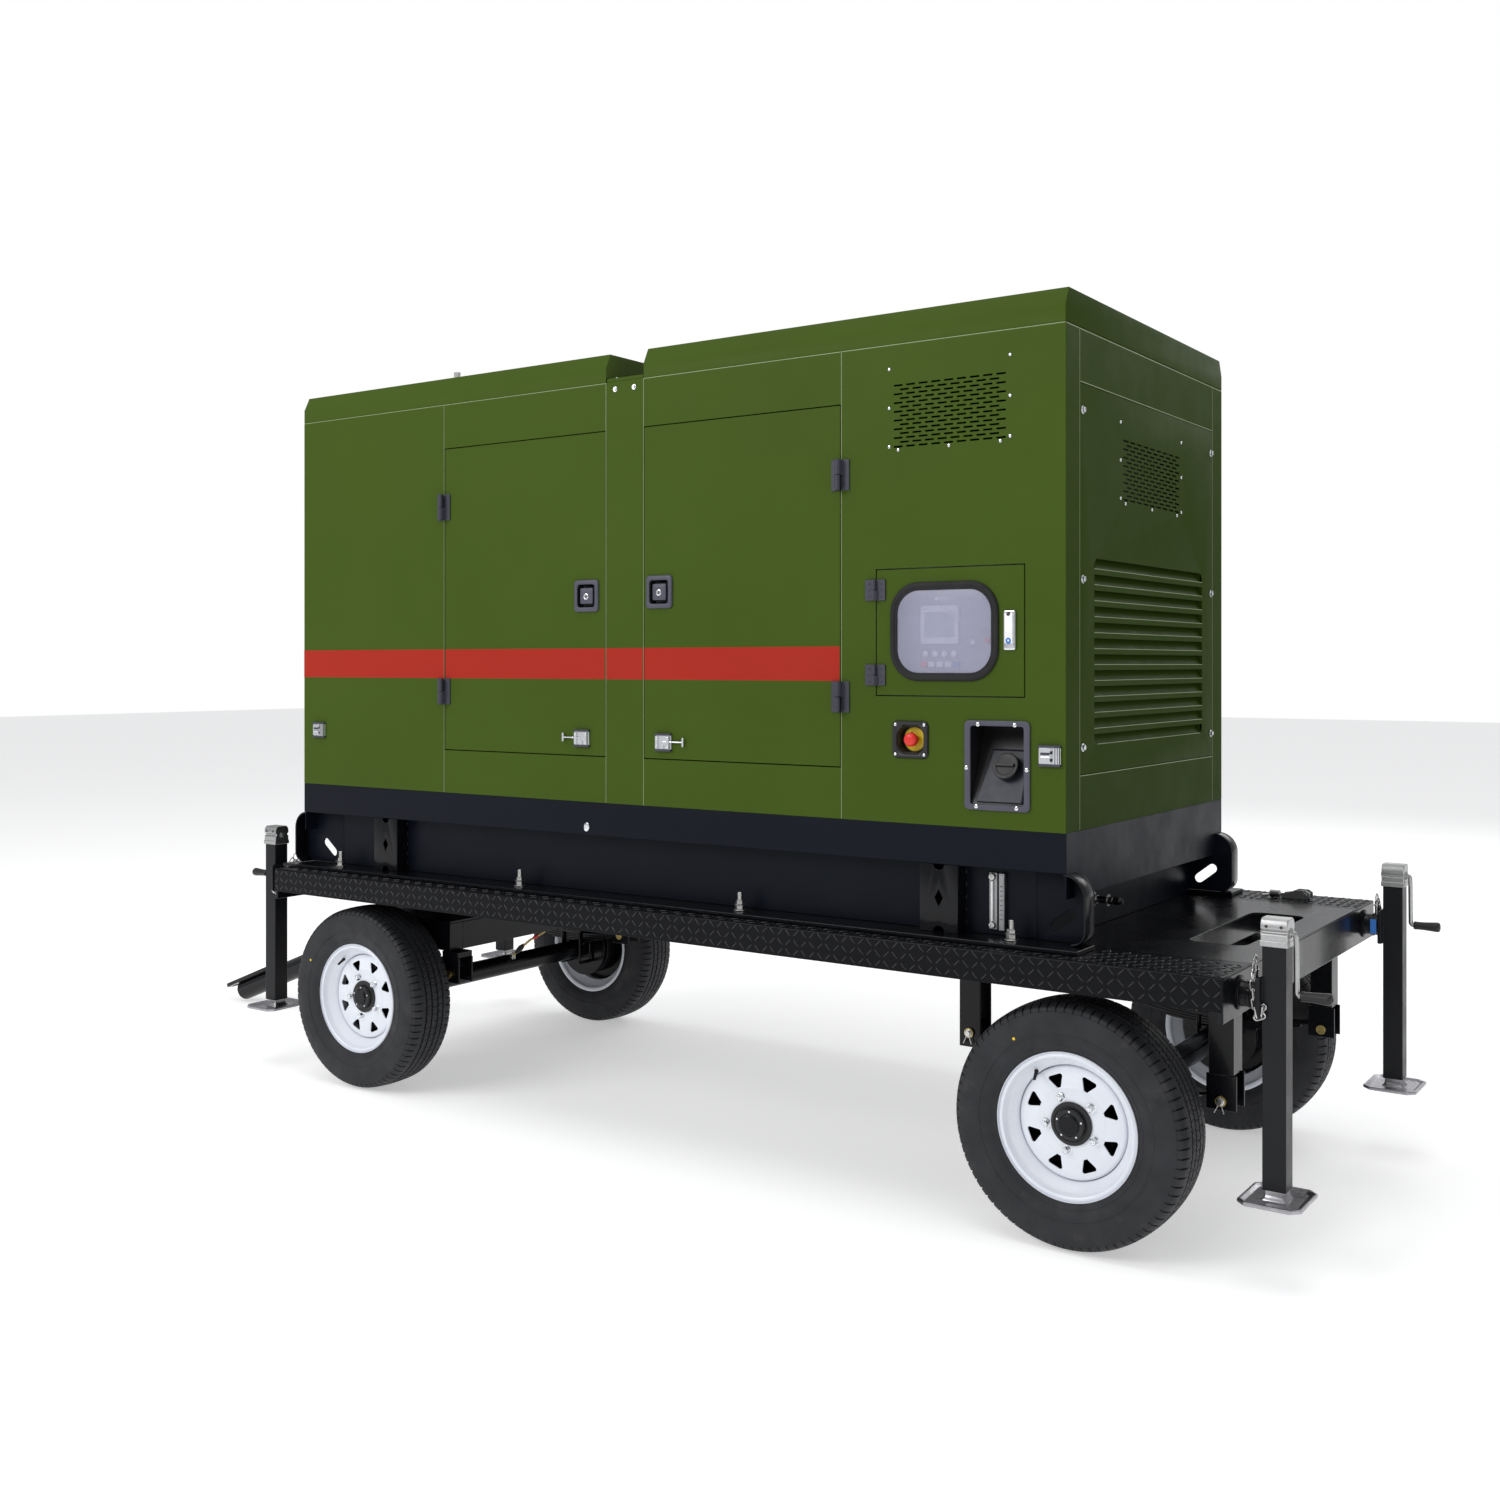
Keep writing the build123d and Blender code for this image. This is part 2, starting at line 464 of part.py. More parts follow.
def paddle(s, latch):
    """Flush pull paddle on its cross pin, with a key barrel."""
    lx, lz = latch
    with BuildPart() as pad:
        slab(lx - 43.5, lx + 43.5, s * (CAN_Y + 2), s * (CAN_Y + 6), lz - 36, lz + 36)
        rod((lx - 48.5, s * (CAN_Y + 4), lz + 33), (lx + 48.5, s * (CAN_Y + 4), lz + 33), 2.5)
        rod((lx, s * (CAN_Y - 12), lz - 8), (lx, s * (CAN_Y + 8.5), lz - 8), 9)
    return pad


for s, side in ((-1, "near"), (1, "far")):
    for word, span, hs, latch, strike in (("left", DOOR_L, -1, LATCH_L, STRIKE_L), ("right", DOOR_R, 1, LATCH_R, STRIKE_R)):
        whole = door(s, span, hs, latch, strike)
        whole.label = f"door_{side}_{word}"
        export_step(whole, f"parts/door_{side}_{word}.step")
        save(f"paddle_{side}_{word}", paddle(s, latch))

# ---------------------------------------------------------------- control door
wx, wz = WIN_C
with BuildPart() as control_leaf:
    x0, x1, z0, z1 = CTRL_X[0] + 3, CTRL_X[1] - 3, CTRL_Z[0] + 3, CTRL_Z[1] - 3
    slab(x0, x1, -CAN_Y, -(CAN_Y - 22), z0, z1)
    slab(x0 + 2, x1 - 2, -(CAN_Y - 2), -(CAN_Y - 23), z0 + 2, z1 - 2, mode=Mode.SUBTRACT)
    with BuildSketch(Plane.XZ.offset(CAN_Y - 3)):
        with Locations(WIN_C):
            RectangleRounded(WIN_W - 44, WIN_H - 44, WIN_R - 22)
    extrude(amount=4, mode=Mode.SUBTRACT)
    rod((LOCK_C[0], -(CAN_Y - 4), LOCK_C[1] - 36), (LOCK_C[0], -(CAN_Y + 1), LOCK_C[1] - 36), 8.05, mode=Mode.SUBTRACT)
with BuildPart() as control_leaves:
    for z in CTRL_HINGE_Z:
        hinge_half(CTRL_X[0], z, -1, 1, False, out=CTRL_OUT, h=30, leaf=33, kr=6, pin=3)
control_all = Compound(children=list(control_leaf.part.solids()) + list(control_leaves.part.solids()))
control_all.label = "control_door"
export_step(control_all, "parts/control_door.step")

with BuildPart() as window_gasket:
    with BuildSketch(Plane.XZ.offset(CAN_Y + G)):
        with Locations(WIN_C):
            RectangleRounded(WIN_W, WIN_H, WIN_R)
            RectangleRounded(WIN_W - 44 + 2 * G, WIN_H - 44 + 2 * G, WIN_R - 22, mode=Mode.SUBTRACT)
    extrude(amount=8)
    fillet(window_gasket.faces().sort_by(Axis.Y)[0].edges(), 3)
save("window_gasket", window_gasket)

with BuildPart() as control_window:
    with BuildSketch(Plane.XZ.offset(CAN_Y - 2)):
        with Locations(WIN_C):
            RectangleRounded(WIN_W - 44 - 2 * G, WIN_H - 44 - 2 * G, WIN_R - 22)
    extrude(amount=5)
save("control_window", control_window)

with BuildPart() as control_lock:
    slab(LOCK_C[0] - 20, LOCK_C[0] + 20, -(CAN_Y + 14), -(CAN_Y + G), LOCK_C[1] - 54, LOCK_C[1] + 54)
    fillet(control_lock.edges().filter_by(Axis.Y), 14)
    rod((LOCK_C[0], -(CAN_Y - 16), LOCK_C[1] - 36), (LOCK_C[0], -CAN_Y - 1, LOCK_C[1] - 36), 8)
    slab(LOCK_C[0] - 5, LOCK_C[0] + 5, -(CAN_Y - 12), -(CAN_Y - 16), LOCK_C[1] - 80, LOCK_C[1] - 31)
save("control_lock", control_lock)

# ---------------------------------------------------------------- engine set
with BuildPart() as engine:
    slab(-820, -120, -130, 130, 1085, 1230 - G)                 # sump
    slab(-860, -80, -170, 170, 1230, 1560 - G)                  # block
    rod((-862, 0, SHAFT_Z), (-790, 0, SHAFT_Z), 25.05, mode=Mode.SUBTRACT)
    slab(-850, -90, -140, 140, 1560, 1660 - G)                  # head
    slab(-830, -110, -95, 95, 1660, 1730)                       # valve cover
    slab(-820, -120, 140 + G, 215, 1575, 1645)                  # inlet manifold
    slab(-800, -140, -205, -140 - G, 1585, 1640)                # exhaust manifold
    rod((-80 + G, 0, SHAFT_Z), (60, 0, SHAFT_Z), 235)           # flywheel housing
    rod((-420, 215, 1320), (-170, 215, 1320), 42)               # starter
    rod((-600, -215, 1230), (-600, -215, 1400), 48)             # oil filter
    rod((-560, 330, 1700), (-160, 330, 1700), 120)              # air cleaner
    slab(-300, -240, 215 + G, 300, 1590, 1620)                  # inlet pipe
    for x in (-800, -300):
        for s in (-1, 1):
            slab(x - 40, x + 40, s * (170 + G), s * 310, 1236, 1256)
            slab(x - 40, x + 40, s * 250, s * 310, 1100, 1236 - G)
            with Locations((x, s * 280, 1070 + G)):
                Cylinder(32, 29, align=(Align.CENTER, Align.CENTER, Align.MIN))
save("engine", engine)

with BuildPart() as crank_train:
    rod((-1000, 0, SHAFT_Z), (-795, 0, SHAFT_Z), 25)
    rod((-905, 0, SHAFT_Z), (-875, 0, SHAFT_Z), 90)
    rod((-990, 0, SHAFT_Z), (-950, 0, SHAFT_Z), 72)
    for i in range(7):
        a = i * 360 / 7
        blade = Plane(
            origin=(-970, 175 * math.cos(math.radians(a)), SHAFT_Z + 175 * math.sin(math.radians(a))),
            x_dir=(0, math.cos(math.radians(a)), math.sin(math.radians(a))),
            z_dir=(1, 0, 0),
        ).rotated((32, 0, 0))
        with Locations(blade.location):
            Box(220, 96, 4)
save("crank_train", crank_train)

with BuildPart() as alternator:
    rod((60 + G, 0, SHAFT_Z), (640, 0, SHAFT_Z), 232)
    rod((640 + G, 0, SHAFT_Z), (730, 0, SHAFT_Z), 215)
    slab(230, 540, -170, 170, 1625, 1790)
    for x in (250, 800 - 220):
        for s in (-1, 1):
            slab(x - 60, x + 60, s * 150, s * 300, 1100 + G, 1190)
    for x in (250, 580):
        for s in (-1, 1):
            slab(x - 60, x + 60, s * 230, s * 300, 1070 + G, 1100)
save("alternator", alternator)

with BuildPart() as radiator:
    slab(-1125, -1075, -400, 400, 1180, 1660)
    slab(-1140, -1060, -430, 430, 1660 + G, 1730)
    slab(-1140, -1060, -430, 430, 1110, 1180 - G)
    for s in (-1, 1):
        slab(-1140, -1060, s * (400 + G), s * 430, 1180, 1660)
    # fan shroud: plate with a round opening and a ring
    with BuildSketch(Plane.YZ.offset(-1060 + G)):
        with Locations((0, (1180 + 1660) / 2)):
            Rectangle(800, 480)
        with Locations((0, SHAFT_Z)):
            Circle(0.001 + 198, mode=Mode.SUBTRACT)
    extrude(amount=2)
save("radiator", radiator)

with BuildPart() as exhaust_system:
    rod((-760, EXH_Y, 2180), (-60, EXH_Y, 2180), 125)            # silencer
    rod((-470, -172, 1640 + G), (-470, -172, 1900), 30)
    rod((-470, -172, 1900), (-470, EXH_Y, 2060), 30)
    rod((-900, EXH_Y, 2180), (-758, EXH_Y, 2180), 36)
    rod((-900, EXH_Y, 2144), (-900, EXH_Y, 2650), 38)
    rod((-900, EXH_Y, 2200), (-900, EXH_Y, 2652), 34, mode=Mode.SUBTRACT)
    for s in (-1, 1):                                            # rain-cap hinge ears
        slab(-956, -944, EXH_Y + s * 8.3, EXH_Y + s * 14, 2630, 2664)
    slab(-946, -934, EXH_Y - 14, EXH_Y + 14, 2630, 2646)
    rod((-950, EXH_Y - 14, 2656), (-950, EXH_Y + 14, 2656), 3)
save("exhaust_system", exhaust_system)

with BuildPart() as exhaust_flap:
    with Locations((-900, EXH_Y, 2652)):
        Cylinder(42, 4, align=(Align.CENTER, Align.CENTER, Align.MIN))
    slab(-956, -930, EXH_Y - 8, EXH_Y + 8, 2652, 2661)
    slab(-978, -956, EXH_Y - 8, EXH_Y + 8, 2656, EXH_TOP)
    rod((-950, EXH_Y - 9, 2656), (-950, EXH_Y + 9, 2656), 3.05, mode=Mode.SUBTRACT)
save("exhaust_flap", exhaust_flap)

with BuildPart() as control_cabinet:
    slab(1216, 1790, -606, -330, 1420, 1830)
    slab(1219, 1787, -603, -333, 1423, 1827, mode=Mode.SUBTRACT)
    wx, wz = WIN_C
    slab(wx - 90, wx + 30, -613, -606 - G, wz - 35, wz + 75)      # display
    for i in range(4):
        with Locations((wx - 75 + i * 30, -609.5, wz - 62)):
            Cylinder(9, 6, rotation=(90, 0, 0))
    for i in range(5):
        slab(wx - 92 + i * 26, wx - 72 + i * 26, -612, -606 - G, wz - 100, wz - 84)
save("control_cabinet", control_cabinet)

with BuildPart() as battery:
    slab(930, 1190, 230, 420, 1076, 1270)
    slab(935, 1185, 235, 415, 1270 + G, 1290)
    for y in (280, 370):
        with Locations((960, y, 1290)):
            Cylinder(9, 14, align=(Align.CENTER, Align.CENTER, Align.MIN))
    slab(900, 1220, 200, 450, 1060, 1076 - G)
save("battery", battery)


# ---------------------------------------------------------------- running gear
def leaves(xl, zl, xc, zc, xr, zr, y, width=52.0, count=4, t=8.0):
    """Stack of leaves bent through three points; shorter leaves lie underneath."""
    stack = []
    # circle through the three points
    d = 2 * (xl * (zc - zr) + xc * (zr - zl) + xr * (zl - zc))
    ux = ((xl**2 + zl**2) * (zc - zr) + (xc**2 + zc**2) * (zr - zl) + (xr**2 + zr**2) * (zl - zc)) / d
    uz = ((xl**2 + zl**2) * (xr - xc) + (xc**2 + zc**2) * (xl - xr) + (xr**2 + zr**2) * (xc - xl)) / d
    rad = math.hypot(xc - ux, zc - uz)
    for k in range(count):
        f = 1 - 0.2 * k
        a0 = math.atan2(xc + (xl - xc) * f - ux, uz - (zc + (zl - zc) * f * f))
        a1 = math.atan2(xc + (xr - xc) * f - ux, uz - (zc + (zr - zc) * f * f))
        n = 12
        r0, r1 = rad + k * (t + 0.4), rad + k * (t + 0.4) + t
        pts = [(ux + r0 * math.sin(a0 + (a1 - a0) * i / n), uz - r0 * math.cos(a0 + (a1 - a0) * i / n)) for i in range(n + 1)]
        pts += [(ux + r1 * math.sin(a1 + (a0 - a1) * i / n), uz - r1 * math.cos(a1 + (a0 - a1) * i / n)) for i in range(n + 1)]
        with BuildPart() as leaf:
            with BuildSketch(Plane.XZ.offset(-(y + width / 2))):
                with BuildLine():
                    Polyline(*pts, pts[0])
                make_face()
            extrude(amount=width)
        stack += list(leaf.part.solids())
    return stack


AXLE_R = 38.0
SEAT_Z = WHEEL_R + AXLE_R


def axle(xc):
    """Axle tube with spindles, brake backing plates and spring seats."""
    with BuildPart() as beam:
        rod((xc, -524, WHEEL_R), (xc, 524, WHEEL_R), AXLE_R)
        rod((xc, -674, WHEEL_R), (xc, 674, WHEEL_R), SPINDLE_R)
        for s in (-1, 1):
            rod((xc, s * 524, WHEEL_R), (xc, s * 530, WHEEL_R), 118)
            slab(xc - 60, xc + 60, s * 455, s * 505, SEAT_Z - 14, SEAT_Z + 0.6)
    return beam


def clamp(xc, y):
    """Clamp plate over the leaves with two U-bolts round the axle tube."""
    with BuildPart() as c:
        slab(xc - 60, xc + 60, y - 42, y + 42, SEAT_Z + 37, SEAT_Z + 49)
        for dx in (-46, 46):
            for dy in (-33, 33):
                rod((xc + dx, y + dy, SEAT_Z - 84), (xc + dx, y + dy, SEAT_Z + 36.8), 6)
                rod((xc + dx, y + dy, SEAT_Z + 49 + G), (xc + dx, y + dy, SEAT_Z + 62), 10)
            slab(xc + dx - 6, xc + dx + 6, y - 39, y + 39, SEAT_Z - 96, SEAT_Z - 84 - G)
    return list(c.part.solids())


rear_parts = []
for s in (-1, 1):
    y = s * SPRING_Y
    rear_parts += leaves(1503, 470, REAR_X, SEAT_Z + 36.0, 2223, 424, y)
    rear_parts += clamp(REAR_X, y)
    with BuildPart() as hangers:
        for q in (-1, 1):
            slab(1470, 1536, y + q * 29, y + q * 36, 440, SKIRT_Z - G)
            slab(2183, 2262, y + q * 29, y + q * 36, 378, 470)
        slab(2190, 2255, y - 36, y + 36, 470 + G, SKIRT_Z - G)
        rod((1503, y - 44, 481), (1503, y - 36 - G, 481), 14)
        rod((1503, y + 36 + G, 481), (1503, y + 44, 481), 14)
        rod((2223, y - 44, 402), (2223, y - 36 - G, 402), 14)
        rod((2223, y + 36 + G, 402), (2223, y + 44, 402), 14)
        rod((2223, y - 28.8, 402), (2223, y + 28.8, 402), 12)
        rod((1503, y - 28.8, 492), (1503, y + 28.8, 492), 12)
    rear_parts += list(hangers.part.solids())
rear_suspension = Compound(children=rear_parts)
rear_suspension.label = "rear_suspension"
export_step(rear_suspension, "parts/rear_suspension.step")
save("rear_axle", axle(REAR_X))

# steered bogie: lower ring, plate, side members and spring hangers
BOG = 532.0
with BuildPart() as steer_ring:
    with BuildSketch(Plane.XY.offset(600 + G)):
        with Locations((KING_X, 0)):
            Circle(380)
            Circle(320, mode=Mode.SUBTRACT)
    extrude(amount=36.4)
    with BuildSketch(Plane.XY.offset(591)):
        with Locations((KING_X, 0)):
            Rectangle(BOG, 2 * 512)
            Circle(60, mode=Mode.SUBTRACT)
    extrude(amount=9)
with BuildPart() as steer_bush:
    with BuildSketch(Plane.XY.offset(562)):
        with Locations((KING_X, 0)):
            Circle(59.8)
            Circle(30.05, mode=Mode.SUBTRACT)
    extrude(amount=38)
with BuildPart() as steer_bars:
    for s in (-1, 1):
        slab(KING_X - BOG / 2, KING_X + BOG / 2, s * 448, s * 512, 491, 591 - G)
        y = s * SPRING_Y
        for e in (-1, 1):
            xe = KING_X + e * 270
            slab(xe - 40, xe + 40, y - 36, y + 36, 470 + G, 491 - G)
            for q in (-1, 1):
                slab(xe - 44, xe + 44, y + q * 29, y + q * 36, 378, 470)
            rod((xe, y - 28.8, 440), (xe, y + 28.8, 440), 12)
            for q in (-1, 1):
                rod((xe, y + q * (36 + G), 410), (xe, y + q * 46, 410), 14)
    for e in (-1, 1):
        xe = KING_X + e * (BOG / 2 - 30)
        slab(xe - 30, xe + 30, -448 + G, 448 - G, 491, 591 - G)
    # drawbar yoke
    for s in (-1, 1):
        slab(DRAW_X - 34, KING_X - BOG / 2 - G, s * 60, s * 72, 400, 500)
        rod((DRAW_X, s * 59, DRAW_Z - 48), (DRAW_X, s * 84, DRAW_Z - 48), 16)
    rod((DRAW_X, -60, DRAW_Z - 48), (DRAW_X, 60, DRAW_Z - 48), 16)
steer_all = Compound(children=list(steer_ring.part.solids()) + list(steer_bush.part.solids()) + list(steer_bars.part.solids()))
steer_all.label = "steer_frame"
export_step(steer_all, "parts/steer_frame.step")

front_parts = list(axle(FRONT_X).part.solids())
for s in (-1, 1):
    y = s * SPRING_Y
    front_parts += leaves(FRONT_X - 270, 420, FRONT_X, SEAT_Z + 36.0, FRONT_X + 270, 420, y)
    front_parts += clamp(FRONT_X, y)
front_axle = Compound(children=front_parts)
front_axle.label = "front_axle"
export_step(front_axle, "parts/front_axle.step")

# drawbar: hub, tube and flat towing eye
PIVOT_Z = DRAW_Z - 48
SLOPE = 21.2
bar = Plane(origin=(DRAW_X, 0, PIVOT_Z), x_dir=(-math.cos(math.radians(SLOPE)), 0, -math.sin(math.radians(SLOPE))), z_dir=(-math.sin(math.radians(SLOPE)), 0, math.cos(math.radians(SLOPE))))
TUBE_END = (2423 + DRAW_X) / math.cos(math.radians(SLOPE))
TIP_U = (END_X + DRAW_X - 52 * math.sin(math.radians(SLOPE))) / math.cos(math.radians(SLOPE))
with BuildPart() as drawbar:
    rod((DRAW_X, -59, PIVOT_Z), (DRAW_X, 59, PIVOT_Z), 34)
    p = bar.from_local_coords(Vector(30, 0, 0))
    q = bar.from_local_coords(Vector(TUBE_END, 0, 0))
    rod(tuple(p), tuple(q), DRAW_R)
    rod((DRAW_X, -60, PIVOT_Z), (DRAW_X, 60, PIVOT_Z), 16.05, mode=Mode.SUBTRACT)
    with BuildSketch(bar.offset(36)):
        with Locations((TIP_U - 45, 0)):
            Circle(45)
        with Locations((TIP_U - 45 - 160, 0)):
            Rectangle(320, 90)
        with Locations((TIP_U - 45, 0)):
            Circle(21, mode=Mode.SUBTRACT)
    extrude(amount=16)
save("drawbar", drawbar)


# ---------------------------------------------------------------- wheels
def wheel_plane(xc, s):
    return Plane(origin=(xc, s * WHEEL_Y, WHEEL_R), x_dir=(0, s, 0), z_dir=(s, 0, 0))


def tyre(xc, s):
    profile = [
        (-72.7, 180.5), (-72.7, 196), (-84, 205), (-94, 240), (-93, 268), (-84, 300), (-72, 316), (-60, 322.5), (-20, 325),
        (20, 325), (60, 322.5), (72, 316), (84, 300), (93, 268), (94, 240), (84, 205), (72.7, 196), (72.7, 180.5), (58, 178.2),
        (58, 190), (74, 215), (82, 240), (80, 280), (66, 302), (0, 308), (-66, 302), (-80, 280), (-82, 240), (-74, 215), (-58, 190), (-58, 178.2),
    ]
    with BuildPart() as t:
        with BuildSketch(wheel_plane(xc, s)):
            with BuildLine():
                Polyline(*profile, profile[0])
            make_face()
            for w in (-44, -15, 15, 44):
                with Locations((w, 325)):
                    Rectangle(7, 16, mode=Mode.SUBTRACT)
        revolve(axis=Axis((xc, s * WHEEL_Y, WHEEL_R), (0, s, 0)))
    return t


def wheel(xc, s):
    rim = [
        (-80, 195), (-76, 195), (-73, 190), (-73, 180), (-55, 177), (-35, 152), (35, 152), (55, 177), (73, 180), (73, 190), (76, 195), (80, 195),
        (80, 190), (78, 190), (77, 177), (57, 172.5), (38, 147.5), (-38, 147.5), (-57, 172.5), (-77, 177), (-78, 190), (-80, 190),
    ]
    disc = [(12, 37), (18, 37), (18, 100), (44, 124), (44, 134), (37, 149), (30, 149), (37, 133), (37, 127), (12, 103), (12, 37)]
    hub = [(-52, 20.05), (35, 20.05), (35, 0), (62, 0), (62, 26), (54, 32), (18.2, 36), (11.8, 36), (11.8, 80), (2, 80), (2, 36), (-52, 36), (-52, 20.05)]
    drum = [(-95, 104), (-95, 116), (-26, 116), (-26, 36.4), (-36, 36.4), (-36, 104), (-95, 104)]
    axis = Axis((xc, s * WHEEL_Y, WHEEL_R), (0, s, 0))
    solids = []
    with BuildPart() as steel:
        with BuildSketch(wheel_plane(xc, s)):
            with BuildLine():
                Polyline(*rim, rim[0])
            make_face()
            with BuildLine():
                Polyline(*disc)
            make_face()
        revolve(axis=axis)
        face = Plane(origin=(xc, s * (WHEEL_Y + 60), WHEEL_R), x_dir=(1, 0, 0), z_dir=(0, s, 0))
        with BuildSketch(face):
            with PolarLocations(118, 8):
                RegularPolygon(19, 3)
        extrude(amount=-45, mode=Mode.SUBTRACT)
        with BuildSketch(face):
            with PolarLocations(139.7 / 2, 5):
                Circle(8)
        extrude(amount=-52, mode=Mode.SUBTRACT)
    solids += list(steel.part.solids())
    with BuildPart() as hubs:
        with BuildSketch(wheel_plane(xc, s)):
            with BuildLine():
                Polyline(*hub)
            make_face()
        revolve(axis=axis)
        with BuildSketch(Plane(origin=(xc, s * (WHEEL_Y + 18 + G), WHEEL_R), x_dir=(1, 0, 0), z_dir=(0, s, 0))):
            with PolarLocations(139.7 / 2, 5):
                RegularPolygon(11, 6)
        extrude(amount=14)
    solids += list(hubs.part.solids())
    with BuildPart() as brake:
        with BuildSketch(wheel_plane(xc, s)):
            with BuildLine():
                Polyline(*drum)
            make_face()
        revolve(axis=axis)
    solids += list(brake.part.solids())
    return Compound(children=solids)


for word, xc in (("front", FRONT_X), ("rear", REAR_X)):
    for side, s in (("near", -1), ("far", 1)):
        save(f"tyre_{word}_{side}", tyre(xc, s))
        w = wheel(xc, s)
        w.label = f"wheel_{word}_{side}"
        export_step(w, f"parts/wheel_{word}_{side}.step")


# ---------------------------------------------------------------- jacks
def jack(jx, s, d, name):
    """Side-wind jack: column on its swivel sleeve, sliding leg, crank."""
    y = s * JACK_Y
    h = JACK_TUBE / 2
    ex = DECK_X1 if d > 0 else DECK_X0
    with BuildPart() as column:
        slab(jx - h, jx + h, y - h, y + h, 240, 850)
        slab(jx - h + 4, jx + h - 4, y - h + 4, y + h - 4, 239, 838, mode=Mode.SUBTRACT)
        slab(jx - d * (h + 12), jx - d * h, y - 50, y + 50, JACK_Z - 52, JACK_Z + 48)
        rod((ex + d * 8.5, y, JACK_Z), (jx - d * (h + 12), y, JACK_Z), 33)
        rod((ex + d * 8, y, JACK_Z), (ex + d * 47, y, JACK_Z), 24.05, mode=Mode.SUBTRACT)
    with BuildPart() as head:
        slab(jx - 34, jx + 34, y - 33, y + 33, 850 + G, 908)
        slab(jx - 36, jx + 36, y - 24, y + 24, 864, 884, mode=Mode.SUBTRACT)
        slab(jx - 33, jx + 33, y - 23.8, y + 23.8, 864, 884)
        rod((jx - 40, y, CRANK_Z), (jx + 40, y, CRANK_Z), 9.05, mode=Mode.SUBTRACT)
    with BuildPart() as small:
        rod((ex + d * 40, y, JACK_Z + 33 + G), (ex + d * 40, y, JACK_Z + 74), 7)      # pull pin
        rod((jx, y, 262), (jx, y, 837), 9)                                            # lifting screw
    whole = Compound(children=list(column.part.solids()) + list(head.part.solids()) + list(small.part.solids()))
    whole.label = f"jack_{name}_column"
    export_step(whole, f"parts/jack_{name}_column.step")
    with BuildPart() as leg:
        slab(jx - 24, jx + 24, y - 24, y + 24, PAD_Z + 16, 640)
        slab(jx - 21, jx + 21, y - 21, y + 21, PAD_Z + 20, 641, mode=Mode.SUBTRACT)
        slab(jx - 78, jx + 78, y - 93, y + 93, PAD_Z, PAD_Z + 16)
        slab(jx - 74, jx + 74, y - 89, y + 89, PAD_Z - 1, PAD_Z + 11, mode=Mode.SUBTRACT)
    save(f"jack_{name}_leg", leg)
    with BuildPart() as crank:
        rod((jx - d * 42, y, CRANK_Z), (jx + d * 52, y, CRANK_Z), 9)
        rod((jx + d * 44, y, CRANK_Z), (jx + d * 44, y, CRANK_Z - CRANK_ARM), 8)
        rod((jx + d * 44, y, CRANK_Z - CRANK_ARM), (jx + d * 132, y, CRANK_Z - CRANK_ARM), 8)
        rod((jx + d * 54, y, CRANK_Z - CRANK_ARM), (jx + d * 132, y, CRANK_Z - CRANK_ARM), 15)
    save(f"jack_{name}_crank", crank)


for name, jx, s, d in (("rear_near", JACK_XR, -1, 1), ("rear_far", JACK_XR, 1, 1), ("front_near", JACK_XL, -1, -1), ("front_far", JACK_XL, 1, -1)):
    jack(jx, s, d, name)
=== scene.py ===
import bpy, bmesh, json, math, random
from math import radians, sin, cos, pi, tau, hypot, atan2, sqrt
from mathutils import Vector, Matrix


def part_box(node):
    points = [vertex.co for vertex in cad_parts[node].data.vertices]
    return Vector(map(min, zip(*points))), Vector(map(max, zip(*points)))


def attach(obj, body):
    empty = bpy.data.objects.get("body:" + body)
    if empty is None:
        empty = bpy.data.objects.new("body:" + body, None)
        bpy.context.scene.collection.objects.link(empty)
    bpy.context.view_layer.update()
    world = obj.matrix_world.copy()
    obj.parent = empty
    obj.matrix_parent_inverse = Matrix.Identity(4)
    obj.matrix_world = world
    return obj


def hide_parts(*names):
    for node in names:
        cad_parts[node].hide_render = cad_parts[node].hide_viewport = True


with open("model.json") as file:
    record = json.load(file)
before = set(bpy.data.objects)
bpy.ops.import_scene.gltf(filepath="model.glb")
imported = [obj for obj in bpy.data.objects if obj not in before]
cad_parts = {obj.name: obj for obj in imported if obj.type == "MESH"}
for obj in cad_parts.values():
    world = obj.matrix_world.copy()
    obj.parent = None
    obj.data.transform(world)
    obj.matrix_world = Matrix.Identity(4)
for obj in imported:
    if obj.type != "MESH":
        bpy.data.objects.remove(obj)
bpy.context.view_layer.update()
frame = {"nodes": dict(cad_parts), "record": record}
NODES = frame["nodes"]
BODY_OF = {n: b for b, ns in frame["record"]["behaviour"]["bodies"].items() for n in ns}
K = 0.001
random.seed(7)

# ------------------------------------------------------------------ camera
cam_data = bpy.data.cameras.new("camera")
cam = bpy.data.objects.new("camera", cam_data)
bpy.context.scene.collection.objects.link(cam)
cam.location = (3.512, -4.5007, 1.530)
cam.rotation_euler = (radians(90), 0, radians(34.82))
cam_data.lens = 37.24
cam_data.sensor_width = 36
cam_data.shift_y = -0.0572
cam_data.clip_end = 200
bpy.context.scene.camera = cam
bpy.context.scene.view_settings.view_transform = "Standard"


# ------------------------------------------------------------------ materials
def lin(c):
    return tuple((x / 255 / 12.92) if x / 255 <= 0.04045 else ((x / 255 + 0.055) / 1.055) ** 2.4 for x in c) + (1.0,)


MATS = {}


